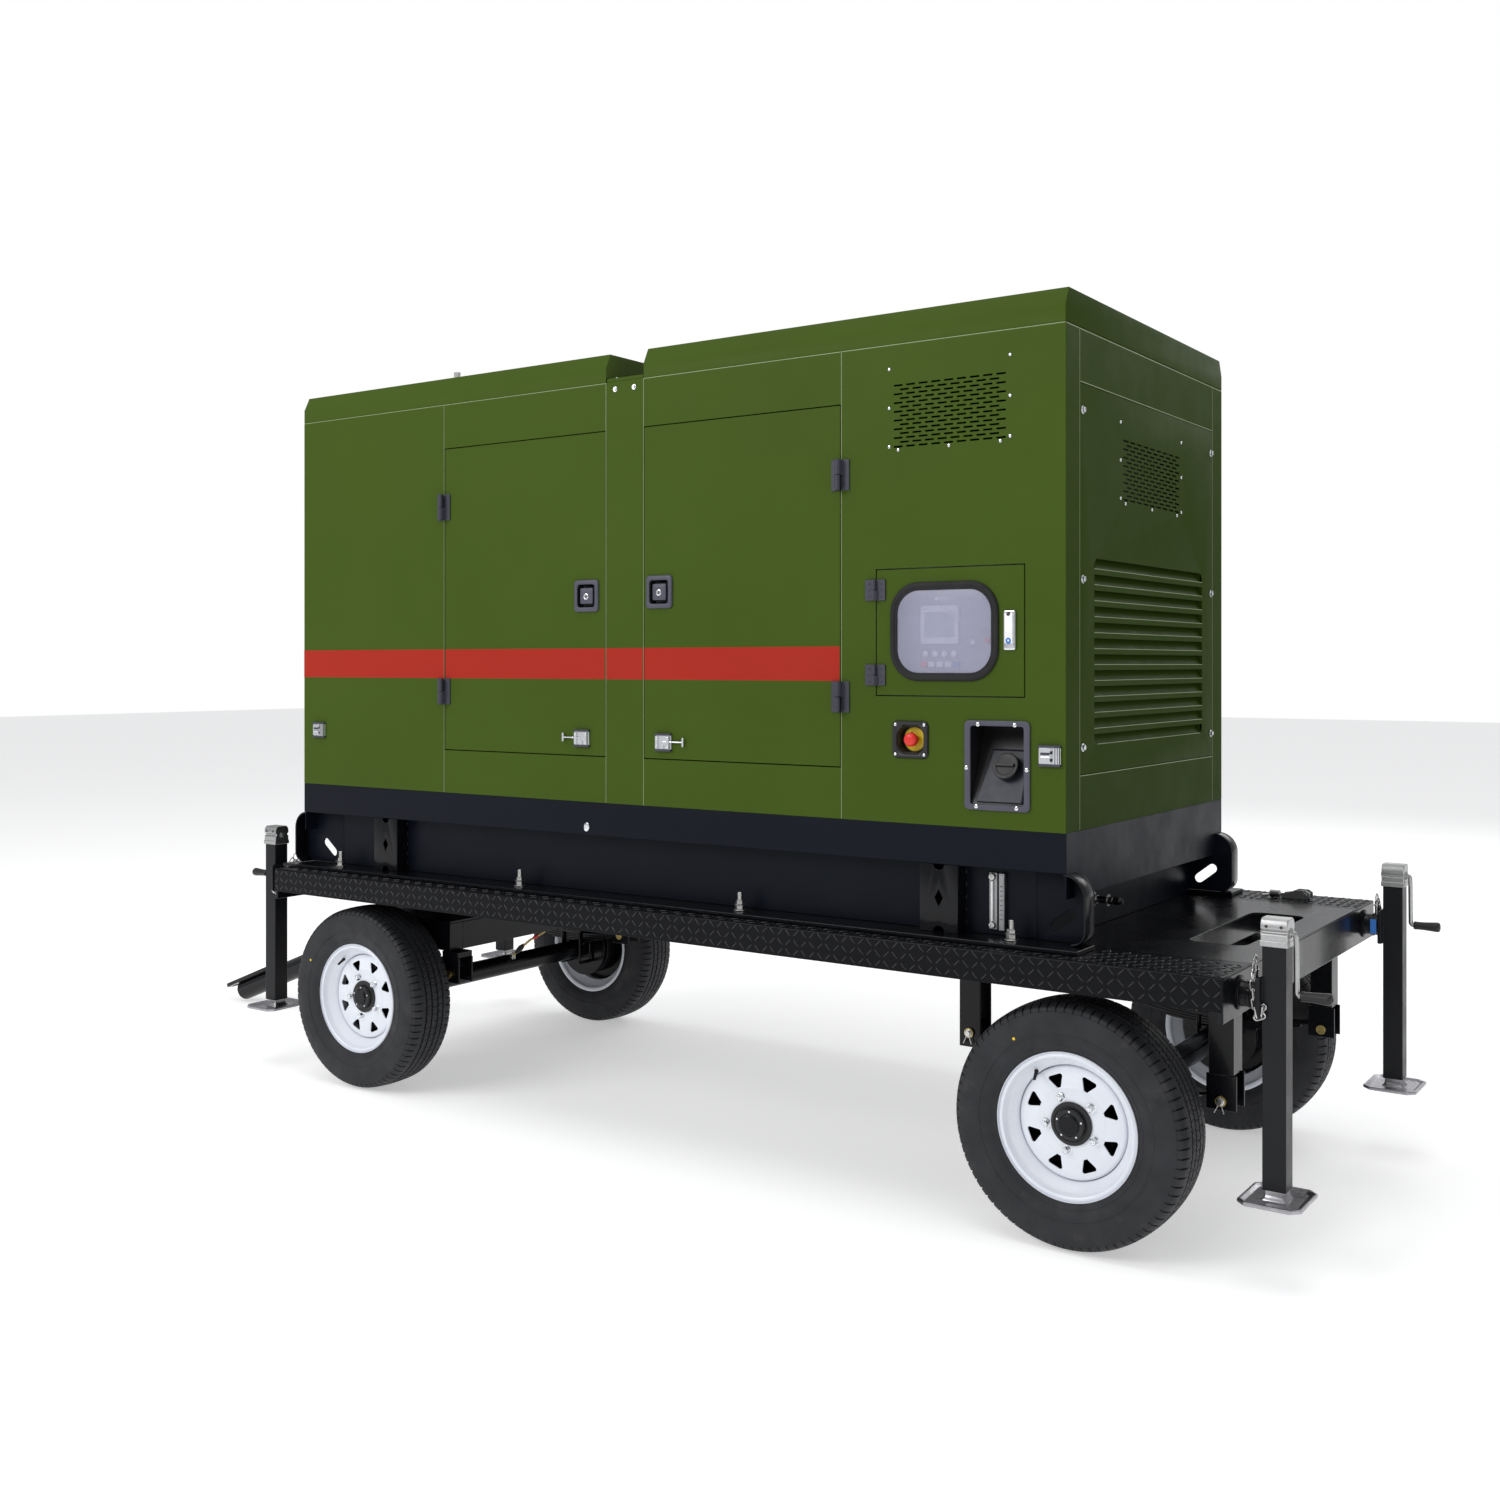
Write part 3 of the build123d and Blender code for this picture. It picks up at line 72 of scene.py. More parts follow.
class Mat:
    """Small helper round one node tree."""

    def __init__(self, name):
        self.m = bpy.data.materials.new(name + "_look")
        self.m.use_nodes = True
        self.t = self.m.node_tree
        self.t.nodes.clear()
        self.out = self.n("ShaderNodeOutputMaterial")
        self.b = self.n("ShaderNodeBsdfPrincipled")
        self.l(self.b.outputs[0], self.out.inputs[0])
        self.co = self.n("ShaderNodeTexCoord").outputs["Object"]

    def n(self, kind, **kw):
        x = self.t.nodes.new(kind)
        for k, v in kw.items():
            setattr(x, k, v)
        return x

    def l(self, a, b):
        self.t.links.new(a, b)

    def noise(self, scale, detail=3.0, rough=0.55, co=None, dist=0.0):
        x = self.n("ShaderNodeTexNoise")
        x.inputs["Scale"].default_value = scale
        x.inputs["Detail"].default_value = detail
        x.inputs["Roughness"].default_value = rough
        x.inputs["Distortion"].default_value = dist
        self.l(co or self.co, x.inputs["Vector"])
        return x.outputs["Fac"]

    def voronoi(self, scale, feature="F1", out="Distance", co=None, rnd=1.0):
        x = self.n("ShaderNodeTexVoronoi", feature=feature)
        x.inputs["Scale"].default_value = scale
        x.inputs["Randomness"].default_value = rnd
        self.l(co or self.co, x.inputs["Vector"])
        return x.outputs[out]

    def ramp(self, fac, stops, mode="LINEAR"):
        x = self.n("ShaderNodeValToRGB")
        x.color_ramp.interpolation = mode
        e = x.color_ramp.elements
        while len(e) < len(stops):
            e.new(0.5)
        for i, (p, c) in enumerate(stops):
            e[i].position = p
            e[i].color = c if isinstance(c, tuple) else (c, c, c, 1)
        self.l(fac, x.inputs[0])
        return x.outputs[0]

    def mix(self, fac, a, b, mode="MIX"):
        x = self.n("ShaderNodeMix", data_type="RGBA", blend_type=mode)
        for v, i in ((fac, 0), (a, 6), (b, 7)):
            if isinstance(v, (int, float)):
                x.inputs[i].default_value = v
            elif isinstance(v, tuple):
                x.inputs[i].default_value = v
            else:
                self.l(v, x.inputs[i])
        return x.outputs[2]

    def math(self, op, a, b=None, c=None):
        x = self.n("ShaderNodeMath", operation=op)
        for v, i in ((a, 0), (b, 1), (c, 2)):
            if v is None:
                continue
            if isinstance(v, (int, float)):
                x.inputs[i].default_value = v
            else:
                self.l(v, x.inputs[i])
        return x.outputs[0]

    def range(self, v, a, b, c, d):
        x = self.n("ShaderNodeMapRange")
        self.l(v, x.inputs[0])
        for i, k in zip((1, 2, 3, 4), (a, b, c, d)):
            x.inputs[i].default_value = k
        return x.outputs[0]

    def scaled(self, sx, sy, sz, rot=(0, 0, 0)):
        x = self.n("ShaderNodeMapping")
        x.inputs["Scale"].default_value = (sx, sy, sz)
        x.inputs["Rotation"].default_value = rot
        self.l(self.co, x.inputs["Vector"])
        return x.outputs[0]

    def up(self):
        """How far the surface faces upwards, 0 to 1."""
        g = self.n("ShaderNodeNewGeometry")
        s = self.n("ShaderNodeSeparateXYZ")
        self.l(g.outputs["Normal"], s.inputs[0])
        return s.outputs[2]

    def bump(self, h, strength, dist, under=None):
        x = self.n("ShaderNodeBump")
        x.inputs["Strength"].default_value = strength
        x.inputs["Distance"].default_value = dist
        self.l(h, x.inputs["Height"])
        if under is not None:
            self.l(under, x.inputs["Normal"])
        return x.outputs[0]

    def set(self, **kw):
        names = {"color": "Base Color", "rough": "Roughness", "metal": "Metallic", "normal": "Normal", "coat": "Coat Weight",
                 "coatr": "Coat Roughness", "spec": "Specular IOR Level", "alpha": "Alpha", "trans": "Transmission Weight",
                 "ior": "IOR", "emit": "Emission Color", "emits": "Emission Strength"}
        for k, v in kw.items():
            i = self.b.inputs[names[k]]
            if isinstance(v, (int, float, tuple)):
                i.default_value = v
            else:
                self.l(v, i)
        return self


def paint(name, rgb, rough=0.36, var=0.06, peel=420.0, peel_d=0.00012, coat=0.0, dust=0.05, dustc=(150, 143, 128), spec=0.35, wear=0.0, wearc=(110, 110, 112)):
    """Sprayed or powder coat: slow tone change, orange peel, faint dust, scattered wear where asked."""
    m = Mat(name)
    c = lin(rgb)
    dk = tuple(x * (1 - var * 1.6) for x in c[:3]) + (1,)
    lt = tuple(min(1, x * (1 + var * 1.4)) for x in c[:3]) + (1,)
    tone = m.ramp(m.noise(1.7, 4, 0.6), [(0.3, dk), (0.55, c), (0.78, lt)])
    fine = m.noise(55, 4, 0.65)
    col = m.mix(m.range(fine, 0.35, 0.75, 0.0, 0.10), tone, lt)
    if dust:
        d = m.math("MULTIPLY", m.range(m.up(), 0.25, 1.0, 0.25, 1.0), m.range(m.noise(6, 6, 0.7), 0.35, 0.8, 0.0, dust))
        col = m.mix(d, col, lin(dustc))
    if wear:
        w = m.math("MULTIPLY", m.range(m.noise(3.2, 5, 0.7), 0.56, 0.72, 0, 1), m.range(m.noise(190, 6, 0.75), 0.60, 0.70, 0.0, wear * 0.45))
        col = m.mix(w, col, lin(wearc))
    r = m.range(m.noise(9, 5, 0.65), 0.3, 0.75, max(0.03, rough - 0.05), rough + 0.09)
    nb = m.bump(m.noise(peel, 2, 0.5), 0.35, peel_d)
    m.set(color=col, rough=r, normal=nb, coat=coat, coatr=0.08, spec=spec)
    MATS[m.m.name] = m.m
    return m.m


def plastic(name, rgb, rough=0.5, grain=900.0, grain_d=0.00008, var=0.08, spec=0.45):
    m = Mat(name)
    c = lin(rgb)
    lt = tuple(min(1, x * (1 + var * 2)) for x in c[:3]) + (1,)
    col = m.mix(m.range(m.noise(14, 4, 0.6), 0.35, 0.7, 0, 1), c, lt)
    r = m.range(m.noise(30, 4), 0.3, 0.7, rough - 0.07, rough + 0.08)
    m.set(color=col, rough=r, normal=m.bump(m.voronoi(grain), 0.3, grain_d), spec=spec)
    MATS[m.m.name] = m.m
    return m.m


def metal(name, rgb, rough=0.3, spangle=0.0, brush=0.0, stain=(90, 84, 74), stain_w=0.15, bump_s=500.0, bump_d=0.00005):
    m = Mat(name)
    c = lin(rgb)
    col = c
    r0 = m.noise(22, 5, 0.65)
    base = m.mix(m.range(r0, 0.4, 0.8, 0.0, stain_w), c, lin(stain))
    if spangle:
        v = m.voronoi(spangle, out="Color")
        s = m.n("ShaderNodeSeparateColor")
        m.l(v, s.inputs[0])
        base = m.mix(m.range(s.outputs[0], 0, 1, 0.0, 0.14), base, lin((225, 228, 232)))
        rr = m.range(s.outputs[1], 0, 1, rough - 0.03, rough + 0.06)
    else:
        rr = m.range(r0, 0.3, 0.75, max(0.03, rough - 0.06), rough + 0.10)
    h = m.noise(bump_s, 3, 0.6, co=m.scaled(1, 1, brush) if brush else None)
    m.set(color=base, rough=rr, metal=1.0, normal=m.bump(h, 0.35, bump_d))
    MATS[m.m.name] = m.m
    return m.m


GREEN = paint("canopy_green", (63, 82, 26), rough=0.44, var=0.03, peel=380, dust=0.008, spec=0.05)
# darker copy of the canopy green for the end walls, roof caps and end blades: painted shade, as the ends face away from
# the key light
GREEN_END = paint("canopy_green_end", (46, 63, 17), rough=0.46, var=0.03, peel=380, dust=0.004, spec=0.02)
RED = paint("stripe_red", (160, 38, 24), rough=0.42, var=0.03, peel=380, dust=0.01, spec=0.12)
SKID = paint("skid_paint_dark", (15, 19, 28), rough=0.36, var=0.06, peel=300, dust=0.006, wear=0.12, spec=0.09)
BLACK = paint("chassis_gloss_black", (10, 11, 15), rough=0.22, var=0.12, peel=260, peel_d=0.0002, coat=0.14, dust=0.006, wear=0.15, spec=0.15)
JACKB = paint("jack_satin_black", (19, 20, 23), rough=0.36, var=0.08, peel=500, dust=0.01, wear=0.2, spec=0.22)
TREAD = paint("tread_plate_black", (11, 12, 16), rough=0.20, var=0.12, peel=240, peel_d=0.00015, coat=0.05, dust=0.004, wear=0.15, wearc=(90, 90, 94), spec=0.07)
# lighter copy of the tread black for the raised bars: real wear on the bar tops plus a painted highlight
TREADB = paint("tread_bump_worn", (30, 31, 36), rough=0.16, var=0.15, peel=240, peel_d=0.0001, coat=0.3, dust=0.006, wear=0.6, wearc=(110, 110, 114), spec=0.22)
HINGE = paint("hinge_powder_grey", (58, 58, 70), rough=0.45, var=0.08, peel=900, dust=0.02)
BEZEL = plastic("latch_slate_plastic", (66, 66, 80), rough=0.48)
WHITE = paint("wheel_enamel", (224, 228, 236), rough=0.30, var=0.03, peel=350, coat=0.2, dust=0.10, dustc=(165, 160, 150))
BPLA = plastic("black_plastic_grain", (17, 17, 19), rough=0.42)
RPLA = plastic("red_plastic", (205, 40, 34), rough=0.32, grain_d=0.00002)
YELL = plastic("yellow_plastic", (222, 190, 34), rough=0.42, grain_d=0.00003)
BLUE = plastic("blue_plastic", (48, 110, 190), rough=0.45, grain_d=0.00003)
WPLA = plastic("pale_label_plastic", (228, 230, 232), rough=0.40, grain_d=0.00002)
RUB = plastic("rubber_seal", (20, 20, 22), rough=0.66, grain=1400, spec=0.35)
CAB = plastic("panel_grey", (226, 226, 232), rough=0.45, grain=1200)
DISP = plastic("display_grey", (176, 182, 190), rough=0.18, grain_d=0.00001)
BATT = plastic("battery_black", (20, 20, 23), rough=0.40)
FAN = plastic("fan_nylon", (24, 24, 26), rough=0.40)
ENG = paint("engine_enamel", (62, 72, 78), rough=0.38, var=0.10, peel=200, peel_d=0.0003, dust=0.12, wear=0.5)
ALT = paint("alternator_enamel", (40, 70, 110), rough=0.38, var=0.08, peel=240, dust=0.10, wear=0.4)
CABP = paint("cabinet_paint", (160, 161, 170), rough=0.45, var=0.05, peel=500, dust=0.05)
ZINC = metal("zinc_plated_sheet", (172, 172, 172), rough=0.33, spangle=240.0)
CHROME = metal("chrome", (218, 220, 224), rough=0.12, stain_w=0.06)
BRIGHT = metal("bright_steel", (190, 190, 188), rough=0.24, stain_w=0.12)
PADM = metal("brushed_foot_steel", (168, 167, 172), rough=0.30, brush=0.2, stain=(96, 92, 88), stain_w=0.5, bump_s=160.0, bump_d=0.0002)
YZINC = metal("yellow_zinc", (200, 178, 112), rough=0.30, stain_w=0.2)
STEEL = metal("dark_steel", (74, 72, 70), rough=0.46, stain=(86, 60, 42), stain_w=0.35)
CORE = metal("aluminium_fins", (150, 152, 154), rough=0.42, brush=0.1)
EXH = metal("exhaust_steel", (70, 66, 62), rough=0.55, stain=(92, 62, 40), stain_w=0.5)


def tyre_rubber():
    m = Mat("trailer_tyre")
    a = m.mix(m.range(m.noise(8, 6, 0.65), 0.35, 0.75, 0, 1), lin((22, 23, 27)), lin((33, 34, 39)))
    d = m.range(m.noise(14, 8, 0.75), 0.55, 0.75, 0.0, 0.22)
    a = m.mix(d, a, lin((84, 80, 76)))
    r = m.range(m.noise(18, 5), 0.3, 0.7, 0.52, 0.72)
    h = m.noise(700, 4, 0.7)
    m.set(color=a, rough=r, normal=m.bump(h, 0.5, 0.0002), spec=0.42)
    MATS[m.m.name] = m.m
    return m.m


TYRE = tyre_rubber()


def tinted_window():
    """Hazed acrylic pane: mostly see-through with a milky film."""
    m = Mat("hazed_acrylic")
    m.set(color=lin((188, 188, 210)), rough=m.range(m.noise(12, 5), 0.3, 0.7, 0.10, 0.20), spec=0.5)
    tr = m.n("ShaderNodeBsdfTransparent")
    tr.inputs[0].default_value = (0.92, 0.92, 0.95, 1)
    mx = m.n("ShaderNodeMixShader")
    m.l(m.range(m.noise(3.5, 4, 0.6), 0.3, 0.75, 0.32, 0.44), mx.inputs[0])
    m.l(tr.outputs[0], mx.inputs[1])
    m.l(m.b.outputs[0], mx.inputs[2])
    m.l(mx.outputs[0], m.out.inputs[0])
    MATS[m.m.name] = m.m
    return m.m


PANE = tinted_window()
WELL = plastic("filler_well_plastic", (36, 38, 48), rough=0.40)
# lighter green for strips along seams and louvre lips: painted highlight where folded edges catch the light
EDGE = paint("edge_sheen_green", (128, 142, 104), rough=0.35, var=0.05, peel=500, dust=0.02)


# ------------------------------------------------------------------ mesh tools (millimetres in, metres out)
def link(obj, body, nodes=()):
    bpy.context.scene.collection.objects.link(obj)
    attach(obj, body)
    if nodes:
        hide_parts(*nodes)
    return obj


def frame_axes(d):
    d = Vector(d).normalized()
    a = Vector((0, 0, 1)) if abs(d.z) < 0.9 else Vector((1, 0, 0))
    u = d.cross(a).normalized()
    return d, u, d.cross(u).normalized()


class Mesh:
    def __init__(self):
        self.v, self.f = [], []

    def add(self, vs, fs):
        o = len(self.v)
        self.v += [tuple(p) for p in vs]
        self.f += [tuple(i + o for i in f) for f in fs]

    def box(self, x0, x1, y0, y1, z0, z1):
        x0, x1 = sorted((x0, x1)); y0, y1 = sorted((y0, y1)); z0, z1 = sorted((z0, z1))
        self.add([(x0, y0, z0), (x1, y0, z0), (x1, y1, z0), (x0, y1, z0), (x0, y0, z1), (x1, y0, z1), (x1, y1, z1), (x0, y1, z1)],
                 [(0, 3, 2, 1), (4, 5, 6, 7), (0, 1, 5, 4), (1, 2, 6, 5), (2, 3, 7, 6), (3, 0, 4, 7)])

    def loft(self, rings, cap=True, loop=True, wrap=False):
        n = len(rings[0])
        vs = [p for r in rings for p in r]
        fs = []
        R = len(rings)
        for i in range(R if wrap else R - 1):
            j = (i + 1) % R
            for k in range(n if loop else n - 1):
                l = (k + 1) % n
                fs.append((i * n + k, i * n + l, j * n + l, j * n + k))
        if cap and not wrap:
            fs.append(tuple(range(n - 1, -1, -1)))
            fs.append(tuple((R - 1) * n + k for k in range(n)))
        self.add(vs, fs)

    def lathe(self, prof, origin, axis, n=32, cap=True):
        """prof: (radius, height) pairs along the axis."""
        d, u, w = frame_axes(axis)
        o = Vector(origin)
        rings = []
        for r, h in prof:
            rings.append([o + d * h + (u * cos(tau * k / n) + w * sin(tau * k / n)) * max(r, 0.01) for k in range(n)])
        self.loft(rings, cap)

    def cyl(self, p, q, r, r1=None, n=24):
        p, q = Vector(p), Vector(q)
        self.lathe([(r, 0), (r if r1 is None else r1, (q - p).length)], p, q - p, n)

    def bolt(self, p, axis, r=6.0, h=4.0, washer=1.6):
        """Hexagon head on a washer."""
        d, u, w = frame_axes(axis)
        p = Vector(p)
        if washer:
            self.lathe([(r * 1.35, 0), (r * 1.45, washer * 0.3), (r * 1.45, washer)], p, d, 20)
        hexa = lambda k, rr: [p + d * k + (u * cos(tau * i / 6) + w * sin(tau * i / 6)) * rr for i in range(6)]
        self.loft([hexa(washer, r), hexa(washer + h * 0.8, r), hexa(washer + h, r * 0.86)])

    def screw(self, p, axis, r=5.5, h=2.6):
        """Pan head with a cross recess."""
        self.lathe([(r, 0), (r, h * 0.35), (r * 0.86, h * 0.8), (r * 0.5, h), (r * 0.28, h * 0.98), (r * 0.20, h * 0.45)], p, axis, 18)

    def tube(self, path, r, n=12, cap=True, wrap=False):
        pts = [Vector(p) for p in path]
        m = len(pts)
        tan = []
        for i in range(m):
            if wrap:
                t = pts[(i + 1) % m] - pts[i - 1]
            else:
                t = pts[min(i + 1, m - 1)] - pts[max(i - 1, 0)]
            tan.append(t.normalized())
        d, u, w = frame_axes(tan[0])
        rings = []
        for i in range(m):
            u = (u - tan[i] * u.dot(tan[i])).normalized()
            w = tan[i].cross(u)
            rr = r[i] if isinstance(r, (list, tuple)) else r
            rings.append([pts[i] + (u * cos(tau * k / n) + w * sin(tau * k / n)) * rr for k in range(n)])
        self.loft(rings, cap, wrap=wrap)

    def prism(self, poly, o, u, v, t):
        """Polygon in the plane (o, u, v) pushed along u x v by t."""
        o, u, v = Vector(o), Vector(u), Vector(v)
        w = u.cross(v).normalized() * t
        a = [o + u * p[0] + v * p[1] for p in poly]
        b = [p + w for p in a]
        n = len(a)
        fs = [tuple(range(n - 1, -1, -1)), tuple(range(n, 2 * n))]
        fs += [(i, (i + 1) % n, (i + 1) % n + n, i + n) for i in range(n)]
        if t < 0:
            fs = [tuple(reversed(f)) for f in fs]
        self.add(a + b, fs)

    def obj(self, name, mat, body, bevel=0.0, segs=2, angle=32, slot=None, nodes=(), limit=28, place=None):
        me = bpy.data.meshes.new(name)
        me.from_pydata([Vector(p) * K for p in self.v], [], self.f)
        me.validate()
        bm = bmesh.new()
        bm.from_mesh(me)
        bmesh.ops.recalc_face_normals(bm, faces=bm.faces)
        bm.to_mesh(me)
        bm.free()
        for mt in (mat if isinstance(mat, (list, tuple)) else [mat]):
            me.materials.append(mt)
        me.shade_smooth()
        me.set_sharp_from_angle(angle=radians(angle))
        ob = bpy.data.objects.new(name, me)
        link(ob, body, nodes)
        if place is not None:
            ob.matrix_world = place
        if bevel:
            bv(ob, bevel, segs, limit)
        return ob


def bv(ob, width_mm, segs=2, limit=28, clamp=False):
    b = ob.modifiers.new("bevel", "BEVEL")
    b.width = width_mm * K
    b.segments = segs
    b.limit_method = "ANGLE"
    b.angle_limit = radians(limit)
    b.use_clamp_overlap = clamp
    b.harden_normals = False
    w = ob.modifiers.new("normals", "WEIGHTED_NORMAL")
    w.keep_sharp = True
    w.weight = 60
    return b


def arc(cx, cy, r, a0, a1, n=8):
    return [(cx + r * cos(radians(a0 + (a1 - a0) * i / n)), cy + r * sin(radians(a0 + (a1 - a0) * i / n))) for i in range(n + 1)]


def rrect(cx, cy, w, h, r, n=6):
    p = []
    for sx, sy, a in ((1, 1, 0), (-1, 1, 90), (-1, -1, 180), (1, -1, 270)):
        p += arc(cx + sx * (w / 2 - r), cy + sy * (h / 2 - r), r, a, a + 90, n)
    return p


def circle(cx, cy, r, n=24):
    return [(cx + r * cos(tau * i / n), cy + r * sin(tau * i / n)) for i in range(n)]


def plate(name, outline, holes, t, mat, body, o, u, v, edge=0.6, nodes=(), res=2):
    """Flat plate with holes and rolled edges, from a filled outline in the plane (o, u, v); it spans t along u x v."""
    cu = bpy.data.curves.new(name, "CURVE")
    cu.dimensions = "2D"
    cu.fill_mode = "BOTH"
    for loop in [outline] + list(holes):
        sp = cu.splines.new("POLY")
        sp.points.add(len(loop) - 1)
        for i, p in enumerate(loop):
            sp.points[i].co = (p[0] * K, p[1] * K, 0, 1)
        sp.use_cyclic_u = True
    cu.extrude = max(0.00001, (t / 2 - edge) * K)
    cu.bevel_depth = edge * K
    cu.bevel_resolution = res
    cu.offset = -edge * K
    tmp = bpy.data.objects.new(name + "_c", cu)
    bpy.context.scene.collection.objects.link(tmp)
    dg = bpy.context.evaluated_depsgraph_get()
    me = bpy.data.meshes.new_from_object(tmp.evaluated_get(dg))
    bpy.data.objects.remove(tmp)
    bpy.data.curves.remove(cu)
    u, v = Vector(u).normalized(), Vector(v).normalized()
    w = u.cross(v)
    mt = Matrix(((u.x, v.x, w.x, 0), (u.y, v.y, w.y, 0), (u.z, v.z, w.z, 0), (0, 0, 0, 1)))
    me.transform(Matrix.Translation((Vector(o) + w * t / 2) * K) @ mt)
    me.name = name
    bm = bmesh.new()
    bm.from_mesh(me)
    bmesh.ops.remove_doubles(bm, verts=bm.verts, dist=1e-6)
    bmesh.ops.recalc_face_normals(bm, faces=bm.faces)
    bm.to_mesh(me)
    bm.free()
    me.materials.clear()
    me.materials.append(mat)
    me.shade_smooth()
    me.set_sharp_from_angle(angle=radians(40))
    return link(bpy.data.objects.new(name, me), body, nodes)


def islands(node):
    """Connected solids of a CAD node: list of (bmesh copy, lowest, highest corner in mm)."""
    src = NODES[node]
    bm = bmesh.new()
    bm.from_mesh(src.data)
    bmesh.ops.remove_doubles(bm, verts=bm.verts, dist=1.5e-5)
    bm.verts.ensure_lookup_table()
    seen = set()
    out = []
    for v in bm.verts:
        if v.index in seen:
            continue
        stack, part = [v], []
        seen.add(v.index)
        while stack:
            a = stack.pop()
            part.append(a)
            for e in a.link_edges:
                b = e.other_vert(a)
                if b.index not in seen:
                    seen.add(b.index)
                    stack.append(b)
        lo = [min(p.co[i] for p in part) * 1000 for i in range(3)]
        hi = [max(p.co[i] for p in part) * 1000 for i in range(3)]
        out.append((part, lo, hi))
    return bm, out


def refine(node, rule, tag="", width=1.0, segs=2, limit=30):
    """Detailed copy of a CAD node, split by material: rule(lo, hi) gives (material, bevel) or a material, or None to leave a solid out."""
    bm, parts = islands(node)
    groups = {}
    for part, lo, hi in parts:
        r = rule(lo, hi) if callable(rule) else rule
        if r is None:
            continue
        mt, w = r if isinstance(r, tuple) else (r, width)
        faces = {f for v in part for f in v.link_faces}
        groups.setdefault((mt.name, w), []).append(faces)
    made = []
    for i, ((mn, w), fl) in enumerate(sorted(groups.items(), key=lambda q: q[0])):
        nb = bmesh.new()
        vm = {}
        for faces in fl:
            for f in sorted(faces, key=lambda q: q.index):
                vs = []
                for v in f.verts:
                    if v.index not in vm:
                        vm[v.index] = nb.verts.new(v.co)
                    vs.append(vm[v.index])
                try:
                    nb.faces.new(vs)
                except ValueError:
                    pass
        bmesh.ops.recalc_face_normals(nb, faces=nb.faces)
        bmesh.ops.dissolve_limit(nb, angle_limit=radians(0.5), verts=nb.verts, edges=nb.edges, delimit=set())
        me = bpy.data.meshes.new(f"{node}_{i}")
        nb.to_mesh(me)
        nb.free()
        me.materials.append(MATS[mn])
        me.shade_smooth()
        me.set_sharp_from_angle(angle=radians(34))
        ob = bpy.data.objects.new(f"{node}{tag}_{mn}", me)
        link(ob, BODY_OF[node], [node])
        if w:
            bv(ob, w, segs, limit)
        made.append(ob)
    bm.free()
    if not made:
        raise SystemExit("refine left nothing of " + node)
    return made


# ------------------------------------------------------------------ canopy: panels, roof, doors
NEAR, FAR = -1, 1
CY = 643.0
BIN = {}          # small hardware gathered by (body, material)


def bin_(body, mat):
    return BIN.setdefault((body, mat.name), Mesh())


refine("canopy_side_near", GREEN, width=1.1, segs=2)
refine("canopy_side_far", GREEN, width=1.1, segs=2)
refine("canopy_end_left", GREEN_END, width=1.1)
refine("roof_left", GREEN, width=1.6)
refine("roof_right", GREEN, width=1.6)
refine("canopy_frame", lambda lo, hi: (GREEN, 1.5) if lo[2] > 2440 else (BLACK, 2.5))


def end_panel(lo, hi):
    return None if hi[2] - lo[2] > 1000 and hi[1] - lo[1] > 1000 else (GREEN_END, 1.1)


refine("canopy_end_right", end_panel)
# lift-off inlet panel: slotted vent above, twelve louvres in a rounded field below
holes = []
for i in range(15):
    n = 9 if i % 2 == 0 else 8
    for k in range(n):
        yc = (k - (n - 1) / 2) * 53.4
        holes.append([(yc - 20, 2003 + i * 12.1 - 2.5), (yc + 20, 2003 + i * 12.1 - 2.5), (yc + 20, 2003 + i * 12.1 + 2.5), (yc - 20, 2003 + i * 12.1 + 2.5)])
LP, LH, LW = 44.06, 27.3, 447.0
for i in range(12):
    zc = 1323.7 + i * LP
    z0, z1 = zc - LH / 2, zc + LH / 2
    if i == 11:
        loop = [(-LW, z0), (LW, z0), (LW, z1 - 22)] + arc(LW - 22, z1 - 22, 22, 0, 90, 6) + arc(-LW + 22, z1 - 22, 22, 90, 180, 6) + [(-LW, z1 - 22)]
    elif i == 0:
        loop = [(LW, z1), (-LW, z1), (-LW, z0 + 22)] + arc(-LW + 22, z0 + 22, 22, 180, 270, 6) + arc(LW - 22, z0 + 22, 22, 270, 360, 6) + [(LW, z0 + 22)]
    else:
        loop = [(-LW, z0), (LW, z0), (LW, z1), (-LW, z1)]
    dd = []
    for q in loop:
        if not dd or hypot(q[0] - dd[-1][0], q[1] - dd[-1][1]) > 0.5:
            dd.append(q)
    if hypot(dd[0][0] - dd[-1][0], dd[0][1] - dd[-1][1]) < 0.5:
        dd.pop()
    holes.append(dd)
plate("inlet_panel", [(-546.4, 1230.6), (546.4, 1230.6), (546.4, 2292.4), (-546.4, 2292.4)], holes, 3.0, GREEN_END, "chassis", (1846, 0, 0), (0, 1, 0), (0, 0, 1), edge=0.9)
lv = Mesh()
for i in range(12):
    zc = 1323.7 + i * LP
    z0, z1 = zc - LH / 2, zc + LH / 2
    # pressed blade: from the lower lip of the opening up and inwards behind the strip above
    prof = [(1846.6, z0 - 0.5), (1845.0, z0 + 0.6), (1826, z1 + 2), (1822, z1 + 9), (1820.6, z1 + 9), (1824.4, z1 + 0.6), (1843.4, z0 - 0.9), (1845.0, z0 - 2.4)]
    ins = 16 if i in (0, 11) else 0
    a = [(x, -LW + ins, z) for x, z in prof]
    b = [(x, LW - ins, z) for x, z in prof]
    lv.loft([a, b])
    for s in (-1, 1):
        lv.box(1822, 1845.8, s * (LW - ins), s * (LW - ins + 1.5), z0 - 1, z1 + 1)
lv.obj("inlet_louvres", GREEN_END, "chassis", bevel=0.4, slot="end_paint")
